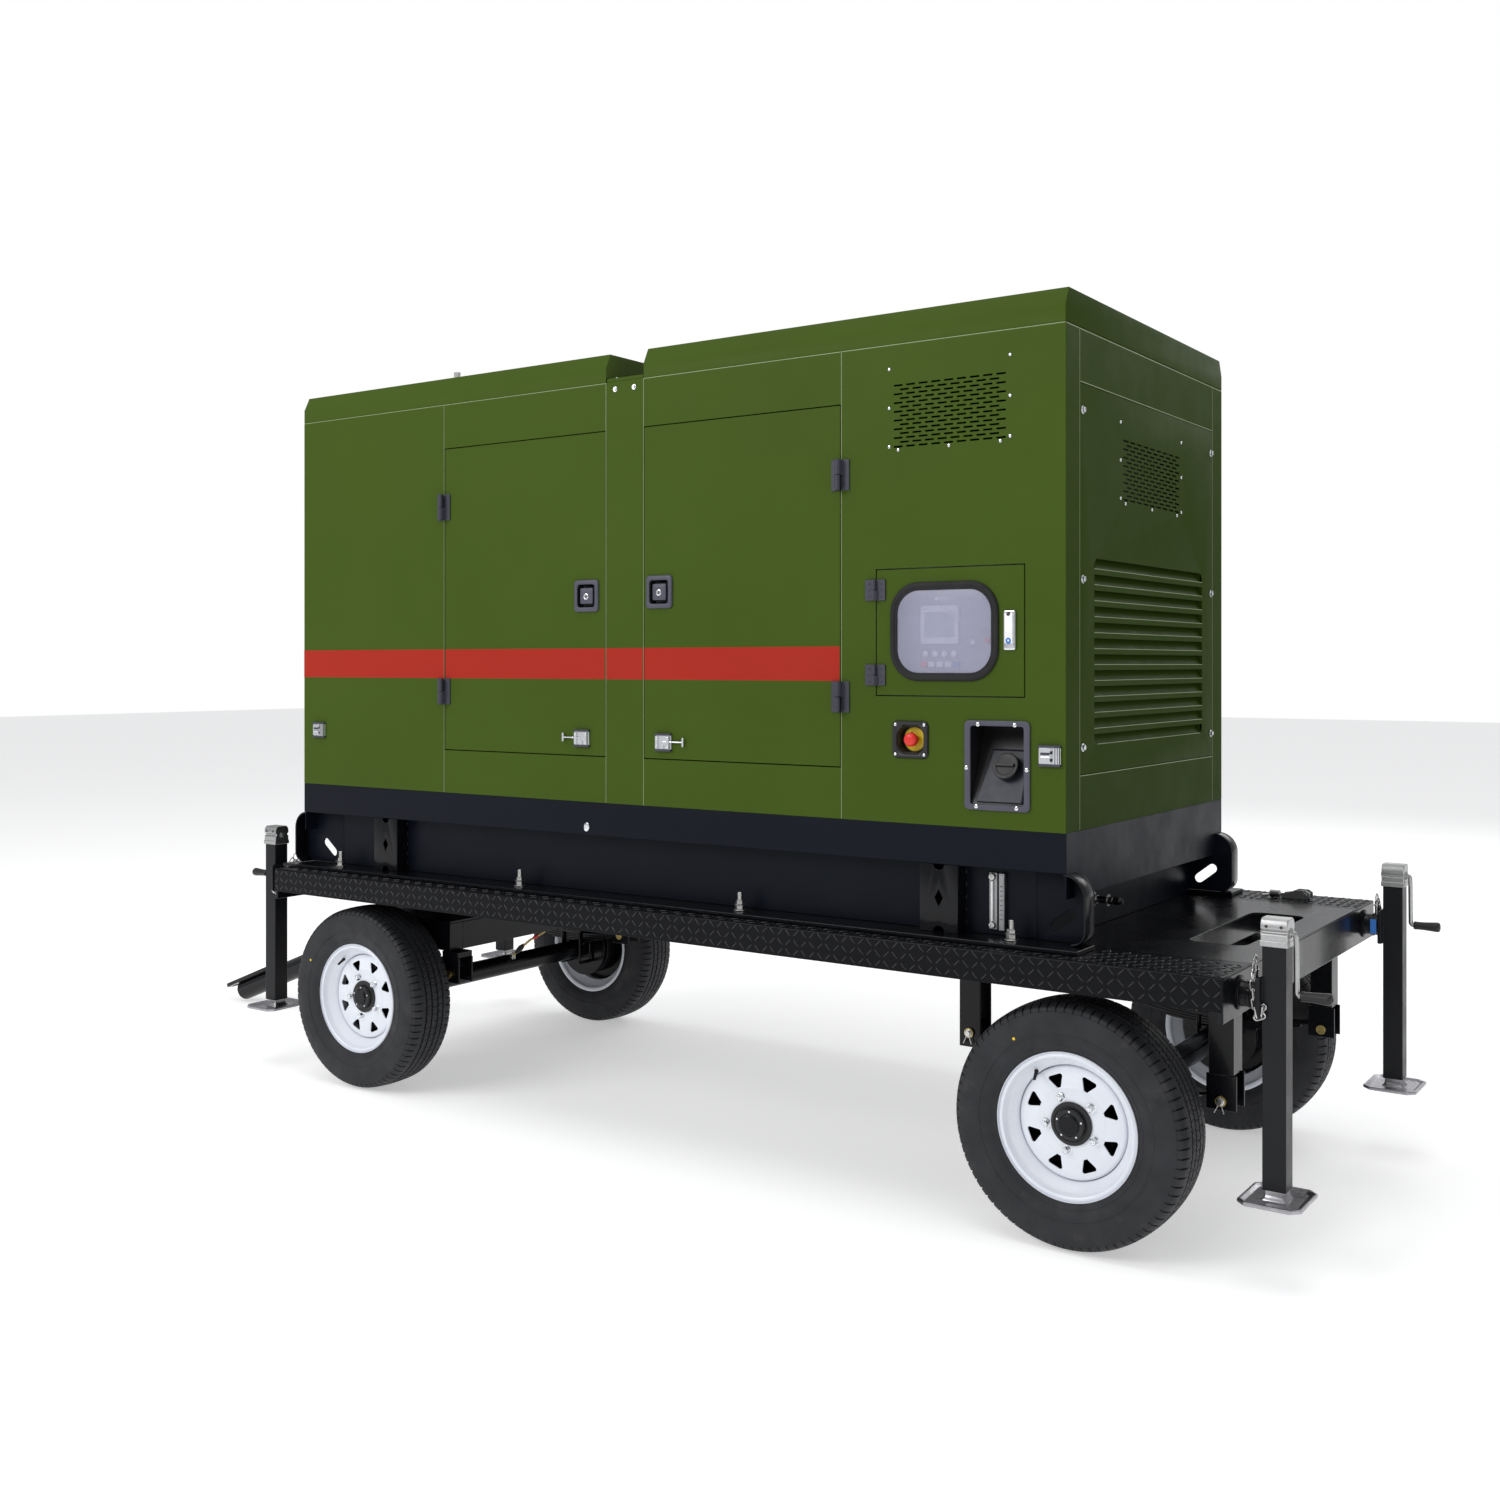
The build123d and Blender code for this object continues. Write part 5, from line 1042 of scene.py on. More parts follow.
refine("skid_base", skid_rule)
for s, side in ((NEAR, "near"), (FAR, "far")):
    V3 = (0, 0, 1)
    for i, xc in enumerate(POSTS):
        x0, x1 = xc - 60, xc + 60
        xm = (x0 + x1) / 2
        z0, z1 = 781.2, 971.6
        loop = [(x0, z0)] + [(xm - 17, z0)] + [(xm + 17 * cos(radians(a)), z0 + 17 * sin(radians(a))) for a in range(165, 0, -15)] + [(xm + 17, z0), (x1, z0), (x1, z1), (xm + 17, z1)] + [(xm + 17 * cos(radians(a)), z1 + 17 * sin(radians(a))) for a in range(-15, -180, -15)] + [(xm - 17, z1), (x0, z1)]
        dia = [(xm, 853), (xm + 13, 877), (xm, 901), (xm - 13, 877)]
        o = (0, s * 633.0, 0) if s < 0 else (0, s * 637.0, 0)
        plate(f"post_face_{side}_{i}", loop, [dia], 4.0, BLACK, "chassis", o, (1, 0, 0), V3, edge=1.0)
        for k, xs in enumerate((x0, x1 - 4)):
            ya, yb = sorted((s * 585.3, s * 633.4))
            lp = [(ya, z0), (yb, z0), (yb, z1), (ya, z1)]
            plate(f"post_side_{side}_{i}_{k}", lp, [circle((ya + yb) / 2, 877, 6, 16)], 4.0, BLACK, "chassis", (xs, 0, 0), (0, 1, 0), V3, edge=0.8)
        wd = bin_("chassis", BLACK)
        for xs in (x0 - 1, x1 + 1):
            for z in range(800, 960, 36):
                wd.tube([(xs, s * 586, z), (xs, s * 586.5, z + 8), (xs, s * 586, z + 16)], [1.5, 2.6, 1.5], n=8)
    for i, (xa, xb, e, sx) in enumerate(EARX):
        z0, z1 = 781.2, 971.6
        if e > 0:
            tip = arc(xb - 40, z0 + 40, 40, 270, 360, 8) + arc(xb - 62, z1 - 62, 62, 0, 90, 10)
        else:
            tip = arc(xb + 40, z0 + 40, 40, 270, 180, 8) + arc(xb + 62, z1 - 62, 62, 180, 90, 10)
        loop = [(xa, z0)] + tip + [(xa, z1)]
        th = radians(38 * e)
        slot_ = []
        for a0 in (0, 180):
            cx_, cz_ = sx + 28 * cos(th) * (1 if a0 == 0 else -1), 838 + 28 * sin(th) * (1 if a0 == 0 else -1)
            for k in range(9):
                t = th + radians(a0 - 90 + k * 22.5)
                slot_.append((cx_ + 15 * cos(t), cz_ + 15 * sin(t)))
        ya = s * 585.0 if s > 0 else s * 578.0
        plate(f"ear_web_{side}_{i}", loop, [slot_], 7.0, SKID, "chassis", (0, ya, 0), (1, 0, 0), V3, edge=1.4)
        # rolled flat-bar rim that follows the edge of the ear
        m = Mesh()
        path = [(xb - e * 66, z1 - 0.6)] + list(reversed(tip[9:])) + [p for p in reversed(tip[:9])]
        path = [(p[0] - e * 0.0, p[1]) for p in path]
        rings = []
        for k, p in enumerate(path):
            q0, q1 = path[max(0, k - 1)], path[min(len(path) - 1, k + 1)]
            t = Vector((q1[0] - q0[0], 0, q1[1] - q0[1])).normalized()
            nrm = Vector((-t.z, 0, t.x))
            if nrm.x * e < 0:
                nrm = -nrm
            c = Vector((p[0], 0, p[1]))
            y0, y1 = s * 585.2, s * 641.5

            ring = []
            for dn, f in ((0, 0.0), (0, 1.0), (-0.5, 2), (-1.6, 3), (-4.4, 3), (-5.5, 2), (-6, 1.0), (-6, 0.0), (-5.5, -1), (-4.4, -2), (-1.6, -2), (-0.5, -1)):
                yy = {0.0: y0 + s * 1.6, 1.0: y1 - s * 1.6, 2: y1 - s * 0.5, 3: y1, -1: y0 + s * 0.5, -2: y0}[f]
                ring.append((c.x + nrm.x * dn, yy, c.z + nrm.z * dn))
            rings.append(ring)
        m.loft(rings)
        m.obj(f"ear_rim_{side}_{i}", BLACK, "chassis", slot="skid_paint", angle=50)
    # anchor studs with washer, nut, lock nut and stud end
    for xc in (-1022, -120, 790, 1692):
        m = bin_("chassis", BRIGHT)
        m.lathe([(20, 0), (21, 0.8), (21, 3.0), (20, 4.0), (9, 4.0)], (xc, s * 640, 780.9), (0, 0, 1), 28)
        m.bolt((xc, s * 640, 784.8), (0, 0, 1), 15.5, 15, 0)
        m.bolt((xc, s * 640, 800.0), (0, 0, 1), 14.0, 11, 1.2)
        pr = [(9.2, 0)]
        for k in range(8):
            pr += [(9.2, k * 3.0 + 0.7), (8.0, k * 3.0 + 2.2)]
        pr += [(9.0, 25.0), (7.4, 27.0)]
        m.lathe(pr, (xc, s * 640, 810), (0, 0, 1), 18)
    # lip along the top of the flush band
    m = Mesh()
    m.box(-1225, 1848, s * 639.4, s * 642.9, 1076.4, 1079.6)
    m.obj(f"skid_lip_{side}", SKID, "chassis", bevel=1.0, slot="skid_paint")

# oval bright plug on the near band
m = bin_("chassis", CHROME)
m.loft([[(180 + (p[0]) * k, y, 998 + p[1] * k) for p in rrect(0, 0, 20, 30, 9.9, 6)] for k, y in ((1, -643.1), (1.04, -645), (0.9, -647.4), (0.55, -648), (0.5, -646.6))])
# fuel sight gauge: twin bars, tube and two round nuts
m = bin_("chassis", CORE)
m.loft([[(p[0], y, p[1]) for p in rrect(1613, 875, w, h, 3, 4)] for w, h, y in ((25, 158, -585.3), (25, 158, -591), (23, 156, -592))])
m.box(1634, 1650, -585.3, -600, 797, 953)
m.box(1637, 1647, -599.5, -600.9, 802, 948)
for z in (808, 942):
    m2 = bin_("chassis", BRIGHT)
    m2.lathe([(10, 0), (10, 5), (8.4, 7.5), (3, 8.0), (2.6, 6.4)], (1611, -592, z), (0, -1, 0), 24)
m = bin_("chassis", WPLA)
m.cyl((1611, -595, 820), (1611, -595, 930), 3.6, n=16)
k = bin_("chassis", STEEL)
for z in range(826, 930, 13):
    k.box(1638, 1646, -600.8, -601.2, z, z + 2)
# drain valve on the recessed end band
m = bin_("chassis", BRIGHT)
m.bolt((1759.2, -241, 850), (1, 0, 0), 16, 12, 3)
m.cyl((1759.2, -241, 850), (1822, -241, 850), 9.5, n=24)
m.bolt((1806, -241, 850), (1, 0, 0), 12.5, 14, 2)
m2 = bin_("chassis", BPLA)
m2.lathe([(10, 0), (11, 2), (11, 18), (9, 20), (7, 26), (8.4, 28)], (1823, -241, 850), (1, 0, 0), 24)
m3 = bin_("chassis", RPLA)
m3.lathe([(9.6, 0), (10.2, 1.5), (10.2, 4), (9.6, 5)], (1826, -241, 850), (1, 0, 0), 24)

# plated drawbar clevis left lying on the far strip of the platform
cl = Mesh()
for yy in (625, 661):
    lp = [(2050, 770.4), (2128, 770.4), (2140, 778), (2140, 792), (2128, 800), (2096, 800), (2074, 790), (2050, 786)]
    cl.loft([[(x, yy, z) for x, z in lp], [(x, yy + 5, z) for x, z in lp]])
cl.box(2050, 2078, 626, 665, 770.4, 775.4)
cl.lathe([(9, 0), (9, 3), (6.4, 4), (6.4, 52), (9, 53), (9, 60), (4, 61)], (2124, 617, 785), (0, 1, 0), 24)
cl.lathe([(12, 0), (12, 30), (9, 32)], (2040, 645, 781), (-1, 0, 0), 24)
cl.tube([(2050, 645, 779), (2030, 645, 780), (2000, 640, 776), (1985, 630, 775)], 4.0, n=12)
cl.obj("spare_clevis", ZINC, "chassis", bevel=0.8, slot="zinc", angle=40, limit=40)

# ------------------------------------------------------------------ trailer frame and running gear
refine("chassis_frame", lambda lo, hi: (BLACK, 2.2), segs=2)


def running(lo, hi):
    w, d, h = (hi[i] - lo[i] for i in range(3))
    if w < 30 and h < 30 and d < 12:
        return (YZINC, 0.8)                       # shackle and hanger bolts
    if w < 22 and d < 22 and h < 14:
        return (BRIGHT, 0.6)                      # U-bolt nuts
    if w > 150 and h < 90 and 45 < d < 60:
        return (BLACK, 1.2)                       # spring leaves
    return (BLACK, 1.8)


for nm in ("rear_suspension", "rear_axle", "front_axle", "steer_frame", "drawbar", "fuel_tank"):
    refine(nm, running)

gm = bin_("chassis", BLACK)
# bolt flanges and rings of the jack stubs
for ex, d in ((2305.0, 1), (-1251.0, -1)):
    for s in (NEAR, FAR):
        gm.lathe([(43, 0), (43, 4), (41, 6), (34, 7), (33.2, 20)], (ex, s * 628, 712), (d, 0, 0), 40)
        gm.lathe([(33.4, 26), (35.6, 27), (35.6, 33), (33.4, 34)], (ex, s * 628, 712), (d, 0, 0), 40)
# cotter pins on the hanger bolts of the fixed axle
ym = bin_("chassis", BRIGHT)
for s in (NEAR, FAR):
    for x, z in ((1503, 481), (2223, 402)):
        yy = s * 526
        ym.tube([(x - 16, yy, z - 30), (x - 4, yy, z - 6), (x, yy, z + 4), (x + 3, yy, z), (x + 2, yy, z - 6), (x + 10, yy, z - 30)], 1.5, n=8)
        ym.lathe([(9, 0), (11, 1), (11, 3), (8, 4), (8, 8), (6.6, 9)], (x, s * 524, z), (0, s, 0), 20)

# brake pull rod on the bogie: plated rod with two rubber boots and a clevis at the axle
bk = bin_("bogie", YZINC)
bk.tube([(-598, 54, 589), (-602, 52, 560), (-616, 51, 510), (-641, 50, 476), (-715, 50, 437), (-774, 50, 393), (-806, 50, 366)], 4.6, n=12)
bk2 = bin_("bogie", BPLA)
bk2.tube([(-600, 53, 575), (-603, 52, 555), (-610, 51, 530), (-618, 51, 508)], [7, 11, 10, 6], n=16)
bk2.tube([(-748, 50, 415), (-764, 50, 402), (-778, 50, 390), (-790, 50, 380)], [6, 11, 10, 7], n=16)
bk3 = bin_("bogie", RPLA)
bk3.tube([(-672, 50, 459.6), (-694, 50, 448.2)], 6.4, n=14)
bk4 = bin_("bogie", BRIGHT)
bk4.box(-818, -802, 42, 46, 352, 376)
bk4.box(-818, -802, 54, 58, 352, 376)
bk4.cyl((-811, 40, 359), (-811, 60, 359), 4.5, n=16)

# split pins on the drawbar hinge bolt
dp = bin_("bogie", BRIGHT)
for s in (-1, 1):
    dp.tube([(-1425 - 16, s * 80, 384 - 22), (-1425 - 3, s * 80, 384 + 2), (-1425, s * 80, 384 + 10), (-1425 + 4, s * 80, 384 + 2), (-1425 + 12, s * 80, 384 - 22)], 1.6, n=8)

# grease nipples of the turntable ring
gz = bin_("bogie", YZINC)
for k in range(4):
    a = tau * k / 4 + 0.6
    gz.lathe([(5, 0), (5, 5), (3, 6), (3, 10), (4, 11), (2, 14)], (-850 + 380 * cos(a), 380 * sin(a), 622), (cos(a), sin(a), 0), 12)


# ------------------------------------------------------------------ tyres and wheels
def tyre_mesh():
    """Radial trailer tyre: zigzag main grooves, slotted shoulders, banded side walls. Axis along Y, outer side at -Y."""
    NP = 80                                        # pitches round the tread
    T = [0.0, 0.05, 0.13, 0.21, 0.26, 0.36, 0.50, 0.60, 0.74, 0.86]
    rows = NP * len(T)
    grooves = [-39.0, -13.5, 13.5, 39.0]
    GW, GD, ZA = 3.4, 7.2, 2.6
    crown = lambda y: 325.0 - 0.00085 * y * y - (0 if abs(y) < 62 else ((abs(y) - 62) / 22) ** 2 * 7.0)
    cols = []                                      # (kind, y, r, zig, depth)
    def ribs(a, b, za, zb, n):
        for i in range(n + 1):
            f = i / n
            cols.append(("t", a + (b - a) * f, None, za + (zb - za) * f, 0.0))
    edge = [-79.0] + grooves + [79.0]
    for i in range(5):
        a = edge[i] + (GW if i else 0)
        b = edge[i + 1] - (GW if i < 4 else 0)
        ribs(a, b, 1.0 if i else 0.0, 1.0 if i < 4 else 0.0, 6 if i in (0, 4) else 3)
        if i < 4:
            g = edge[i + 1]
            cols.append(("t", g - GW * 0.7, None, 1.0, GD))
            cols.append(("t", g + GW * 0.7, None, 1.0, GD))
    side = [(83.5, 313.5), (86.5, 309.0), (88.3, 304.5), (89.0, 301.5), (90.2, 300.8), (91.2, 296), (92.4, 288), (93.6, 278), (94.0, 266), (93.4, 252), (92.6, 244.5), (93.4, 243.6), (93.2, 241.5), (91.8, 240.6), (90.0, 230), (86.4, 219), (83.0, 212.5), (83.6, 211.2), (82.8, 209.4), (79.8, 206), (77.5, 200.5), (76.0, 196.2), (72, 193.6), (66, 193.2)]
    left = [("s", -y, r, 0, 0) for y, r in reversed(side)]
    right = [("s", y, r, 0, 0) for y, r in side]
    allc = left + cols + right
    n = len(allc)
    vs = []
    tri = lambda t: 4 * abs(((t + 0.25) % 1.0) - 0.5) - 1
    for p in range(NP):
        for ti, t in enumerate(T):
            th = tau * (p + t) / NP
            z = tri(t * 2 if True else t) * ZA
            for kind, y, r, zf, dep in allc:
                yy, rr = y, r
                if kind == "t":
                    yy = y + z * zf
                    rr = crown(yy) - dep
                    # lateral shoulder slots, and small sipes along the inner ribs
                    if abs(y) > 57 and dep == 0 and ti in (2, 3) and abs(y) > 60:
                        rr -= 6.2
                    if abs(y) < 34 and dep == 0 and ti in (7,) and zf < 1.0 + 1e-6 and abs(abs(y) - 26) < 5:
                        rr -= 2.4
                    if abs(y) < 9 and dep == 0 and ti == 5:
                        rr -= 2.4
                else:
                    if rr > 303 and ti in (2, 3):
                        rr -= 3.0
                        yy *= 0.982
                    elif 300.9 > rr > 299 and ti in (2, 3):
                        yy *= 0.996
                vs.append((rr * cos(th), yy, rr * sin(th)))
    fs = []
    for i in range(rows):
        j = (i + 1) % rows
        for k in range(n - 1):
            fs.append((i * n + k, i * n + k + 1, j * n + k + 1, j * n + k))
    # inner liner closes the section at the beads
    o = len(vs)
    inner = [(-66, 193.2), (-66, 199), (-78, 214), (-84, 252), (-80, 296), (-40, 308), (40, 308), (80, 296), (84, 252), (78, 214), (66, 199), (66, 193.2)]
    q = len(inner)
    M = 96
    for i in range(M):
        th = tau * i / M
        for y, r in inner:
            vs.append((r * cos(th), y, r * sin(th)))
    for i in range(M):
        j = (i + 1) % M
        for k in range(q - 1):
            fs.append((o + i * q + k, o + j * q + k, o + j * q + k + 1, o + i * q + k + 1))
    return vs, fs


tv, tf = tyre_mesh()
tyre_data = bpy.data.meshes.new("tyre")
tyre_data.from_pydata([Vector(p) * K for p in tv], [], tf)
tyre_data.validate()
bm = bmesh.new()
bm.from_mesh(tyre_data)
bmesh.ops.recalc_face_normals(bm, faces=bm.faces)
bm.to_mesh(tyre_data)
bm.free()
tyre_data.materials.append(TYRE)
tyre_data.shade_smooth()
tyre_data.set_sharp_from_angle(angle=radians(38))


def tri_hole(phase, r0=112.0, n=5):
    """Rounded triangular vent hole, wide side out."""
    a = radians(phase)
    tip, base = (r0 - 25, 0), [(r0 + 18, 25), (r0 + 18, -25)]
    pts = [tip, base[0], base[1]]
    out = []
    for i in range(3):
        p, q, r = Vector(pts[i - 1]), Vector(pts[i]), Vector(pts[(i + 1) % 3])
        u, v = (p - q).normalized(), (r - q).normalized()
        half = math.acos(max(-1, min(1, u.dot(v)))) / 2
        rad = 6.0
        d = rad / math.tan(half)
        c = q + (u + v).normalized() * (rad / sin(half))
        s0, s1 = q + u * d, q + v * d
        a0 = atan2(s0.y - c.y, s0.x - c.x)
        a1 = atan2(s1.y - c.y, s1.x - c.x)
        da = (a1 - a0 + pi) % tau - pi
        for k in range(n + 1):
            t = a0 + da * k / n
            out.append((c.x + rad * cos(t), c.y + rad * sin(t)))
    ca, sa = cos(a), sin(a)
    return [(x * ca - y * sa, x * sa + y * ca) for x, y in out]


def wheel_extras():
    """Lug nuts, valve stem and stepped hub cap, outer side at -Y."""
    c, b, v = Mesh(), Mesh(), Mesh()
    for k in range(5):
        a = radians(43 + 72 * k)
        x, z = 72.0 * cos(a), 72.0 * sin(a)
        c.lathe([(14.5, 0), (14.5, 1.2), (11.6, 2.4)], (x, -35.0, z), (0, -1, 0), 24)
        hexa = lambda y, r: [(x + r * cos(tau * i / 6 + a), y, z + r * sin(tau * i / 6 + a)) for i in range(6)]
        c.loft([hexa(-36.5, 10.6), hexa(-47, 10.6), hexa(-49.5, 9.0)])
        c.lathe([(8.6, 0), (7.2, 2.4), (4.0, 3.0), (3.4, 1.6)], (x, -49.2, z), (0, -1, 0), 18)
    b.lathe([(56, 0), (57, 1.5), (57, 7), (55, 9), (47, 9.5), (45.5, 8), (42, 8), (41, 10), (41, 17), (39, 20), (32, 22), (29, 22), (27.5, 20.6), (24, 20.6), (23, 22), (18, 25.4), (10, 26.8), (1, 27)], (0, -34.6, 0), (0, -1, 0), 56)
    for k in range(5):
        a = tau * k / 5 + 0.3
        c.lathe([(3.0, 0), (2.6, 1.3), (1.0, 1.5)], (35 * cos(a), -55.6, 35 * sin(a)), (0, -1, 0), 10)
    a = radians(126)
    p0, p1 = Vector((158 * cos(a), -52, 158 * sin(a))), Vector((146 * cos(a), -78, 146 * sin(a)))
    v.tube([p0, p0.lerp(p1, 0.35), p1], [6.0, 4.8, 4.0], n=14)
    v.tube([p1, p1 + (p1 - p0).normalized() * 9], [4.4, 4.1], n=14)
    return c, b, v


def wheel_steel():
    """Pressed rim and rolled edge of the disc, outer side at -Y."""
    m = Mesh()
    rim = [(193, -79.4), (195, -78), (195.4, -75), (193.6, -73.6), (190.5, -74.4), (188, -76.5), (183, -77.6), (180.2, -76), (178.5, -70), (176.6, -60), (172.6, -55), (160, -43), (154.5, -36), (152.2, -30), (152, -10), (152, 34), (158, 40), (174, 55), (178, 62), (180, 74), (184, 77.5), (192, 79), (195, 78), (193, 74), (186, 73), (184, 70), (182, 60), (177, 50), (158, 34), (156, 30), (156, -32), (160, -38), (176, -54), (181, -60), (183, -70), (186, -72.5)]
    m.lathe([(r, y) for r, y in rim], (0, 0, 0), (0, 1, 0), 128, cap=False)
    ring = [(137.4, -34.9), (142, -34.6), (146, -33), (148.8, -30), (150.2, -26), (150.4, -14), (147.6, -14), (147, -25), (144, -29), (137.4, -30.1)]
    m.lathe([(r, y) for r, y in ring], (0, 0, 0), (0, 1, 0), 128, cap=False)
    # raised centre land of the disc
    m.lathe([(96, -34.8), (94, -35.6), (92, -36.4), (60, -36.8), (44, -36.8), (44, -34.0)], (0, 0, 0), (0, 1, 0), 96, cap=False)
    return m


def wheel_back():
    """Dark backing plate behind the vent holes."""
    m = Mesh()
    m.lathe([(60, 6), (100, 9), (148, 9), (151.5, 7), (151.5, 11), (148, 13), (100, 13), (60, 10)], (0, 0, 0), (0, 1, 0), 96, cap=False)
    for k in range(12):
        a = tau * k / 12
        m.lathe([(5, 0), (5, 3), (3, 4), (0.5, 4.2)], (106 * cos(a), 9, 106 * sin(a)), (0, -1, 0), 12)
    return m


for ax, x in (("front", -850.0), ("rear", 1881.0)):
    for s, side in ((NEAR, "near"), (FAR, "far")):
        body = f"wheel_{ax}_{side}"
        ty = bpy.data.objects.new(f"tyre_tread_{ax}_{side}", tyre_data.copy())
        link(ty, body, [f"tyre_{ax}_{side}"])
        spin = Matrix.Rotation(radians({"front": 11, "rear": 37}[ax] * (1 if s < 0 else 1.7)), 4, "Y")
        ty.data.transform(Matrix.Translation(Vector((x, s * 641, 325)) * K) @ (Matrix.Rotation(pi, 4, "Z") if s > 0 else Matrix.Identity(4)) @ spin)

        def wheel_rule(lo, hi):
            w = hi[0] - lo[0]
            if w > 380 or w < 30:
                return None
            return (BLACK, 1.4)
        refine(f"wheel_{ax}_{side}", wheel_rule)
        mw = Matrix.Translation(Vector((x, s * 641, 325)) * K) @ (Matrix.Rotation(pi, 4, "Z") if s > 0 else Matrix.Identity(4))
        ph0 = 22.5
        holes = [tri_hole(ph0 + 45 * k) for k in range(8)] + [circle(0, 0, 40, 40)]
        disc = plate(f"wheel_disc_{ax}_{side}", circle(0, 0, 138.4, 128), holes, 4.6, WHITE, f"wheel_{ax}_{side}", (0, -30.2, 0), (1, 0, 0), (0, 0, 1), edge=0.9)
        disc.data.transform(mw)
        wheel_steel().obj(f"wheel_rim_{ax}_{side}", WHITE, f"wheel_{ax}_{side}", slot="wheel_white", place=mw, angle=38)
        wheel_back().obj(f"wheel_back_{ax}_{side}", BLACK, f"wheel_{ax}_{side}", slot="wheel_white", place=mw, angle=38)
        c, b, v = wheel_extras()
        c.obj(f"lug_nuts_{ax}_{side}", CHROME, body, bevel=0.5, slot="wheel_white", place=mw, limit=40)
        b.obj(f"hub_cap_{ax}_{side}", BPLA, body, slot="wheel_white", place=mw, angle=35)
        v.obj(f"valve_stem_{ax}_{side}", RUB, body, slot="wheel_white", place=mw)
        for mt, ang, rr, q, nm in ((YELL, 123, 256, 4.4, "a"), (WPLA, 132, 268, 3.0, "b")):
            dm = Mesh()
            an = radians(ang + (30 if ax == "front" else 0))
            dm.lathe([(q, 0), (q * 0.9, 0.5), (0.4, 0.7)], (rr * cos(an), -93.2, rr * sin(an)), (0, -1, 0), 18)
            dm.obj(f"paint_dot_{nm}_{ax}_{side}", mt, body, slot="tyre_rubber", place=mw)


# ------------------------------------------------------------------ jacks
def chain(m, path, link_len=27.0, wire=2.6):
    """Welded chain laid along a path, each link turned a quarter from the last."""
    pts = [Vector(p) for p in path]
    seg = [(pts[i + 1] - pts[i]).length for i in range(len(pts) - 1)]
    total = sum(seg)
    pitch = link_len - wire * 2.2
    n = max(2, int(total / pitch))

    def at(d):
        d = max(0, min(total - 1e-6, d))
        for i, L in enumerate(seg):
            if d <= L:
                return pts[i].lerp(pts[i + 1], d / L)
            d -= L
        return pts[-1]
    for i in range(n):
        a, b = at(total * i / n), at(total * (i + 1) / n)
        c, t = (a + b) / 2, (b - a).normalized()
        _, u, w = frame_axes(t)
        sd = u if i % 2 else w
        h = link_len / 2 - 6.2
        loop = []
        for k in range(9):
            g = -pi / 2 + pi * k / 8
            loop.append(c + t * (h + 6.2 * cos(g)) + sd * (6.6 * sin(g)))
        for k in range(9):
            g = pi / 2 + pi * k / 8
            loop.append(c + t * (-h + 6.2 * cos(g)) + sd * (6.6 * sin(g)))
        m.tube(loop, wire, n=8, wrap=True, cap=False)


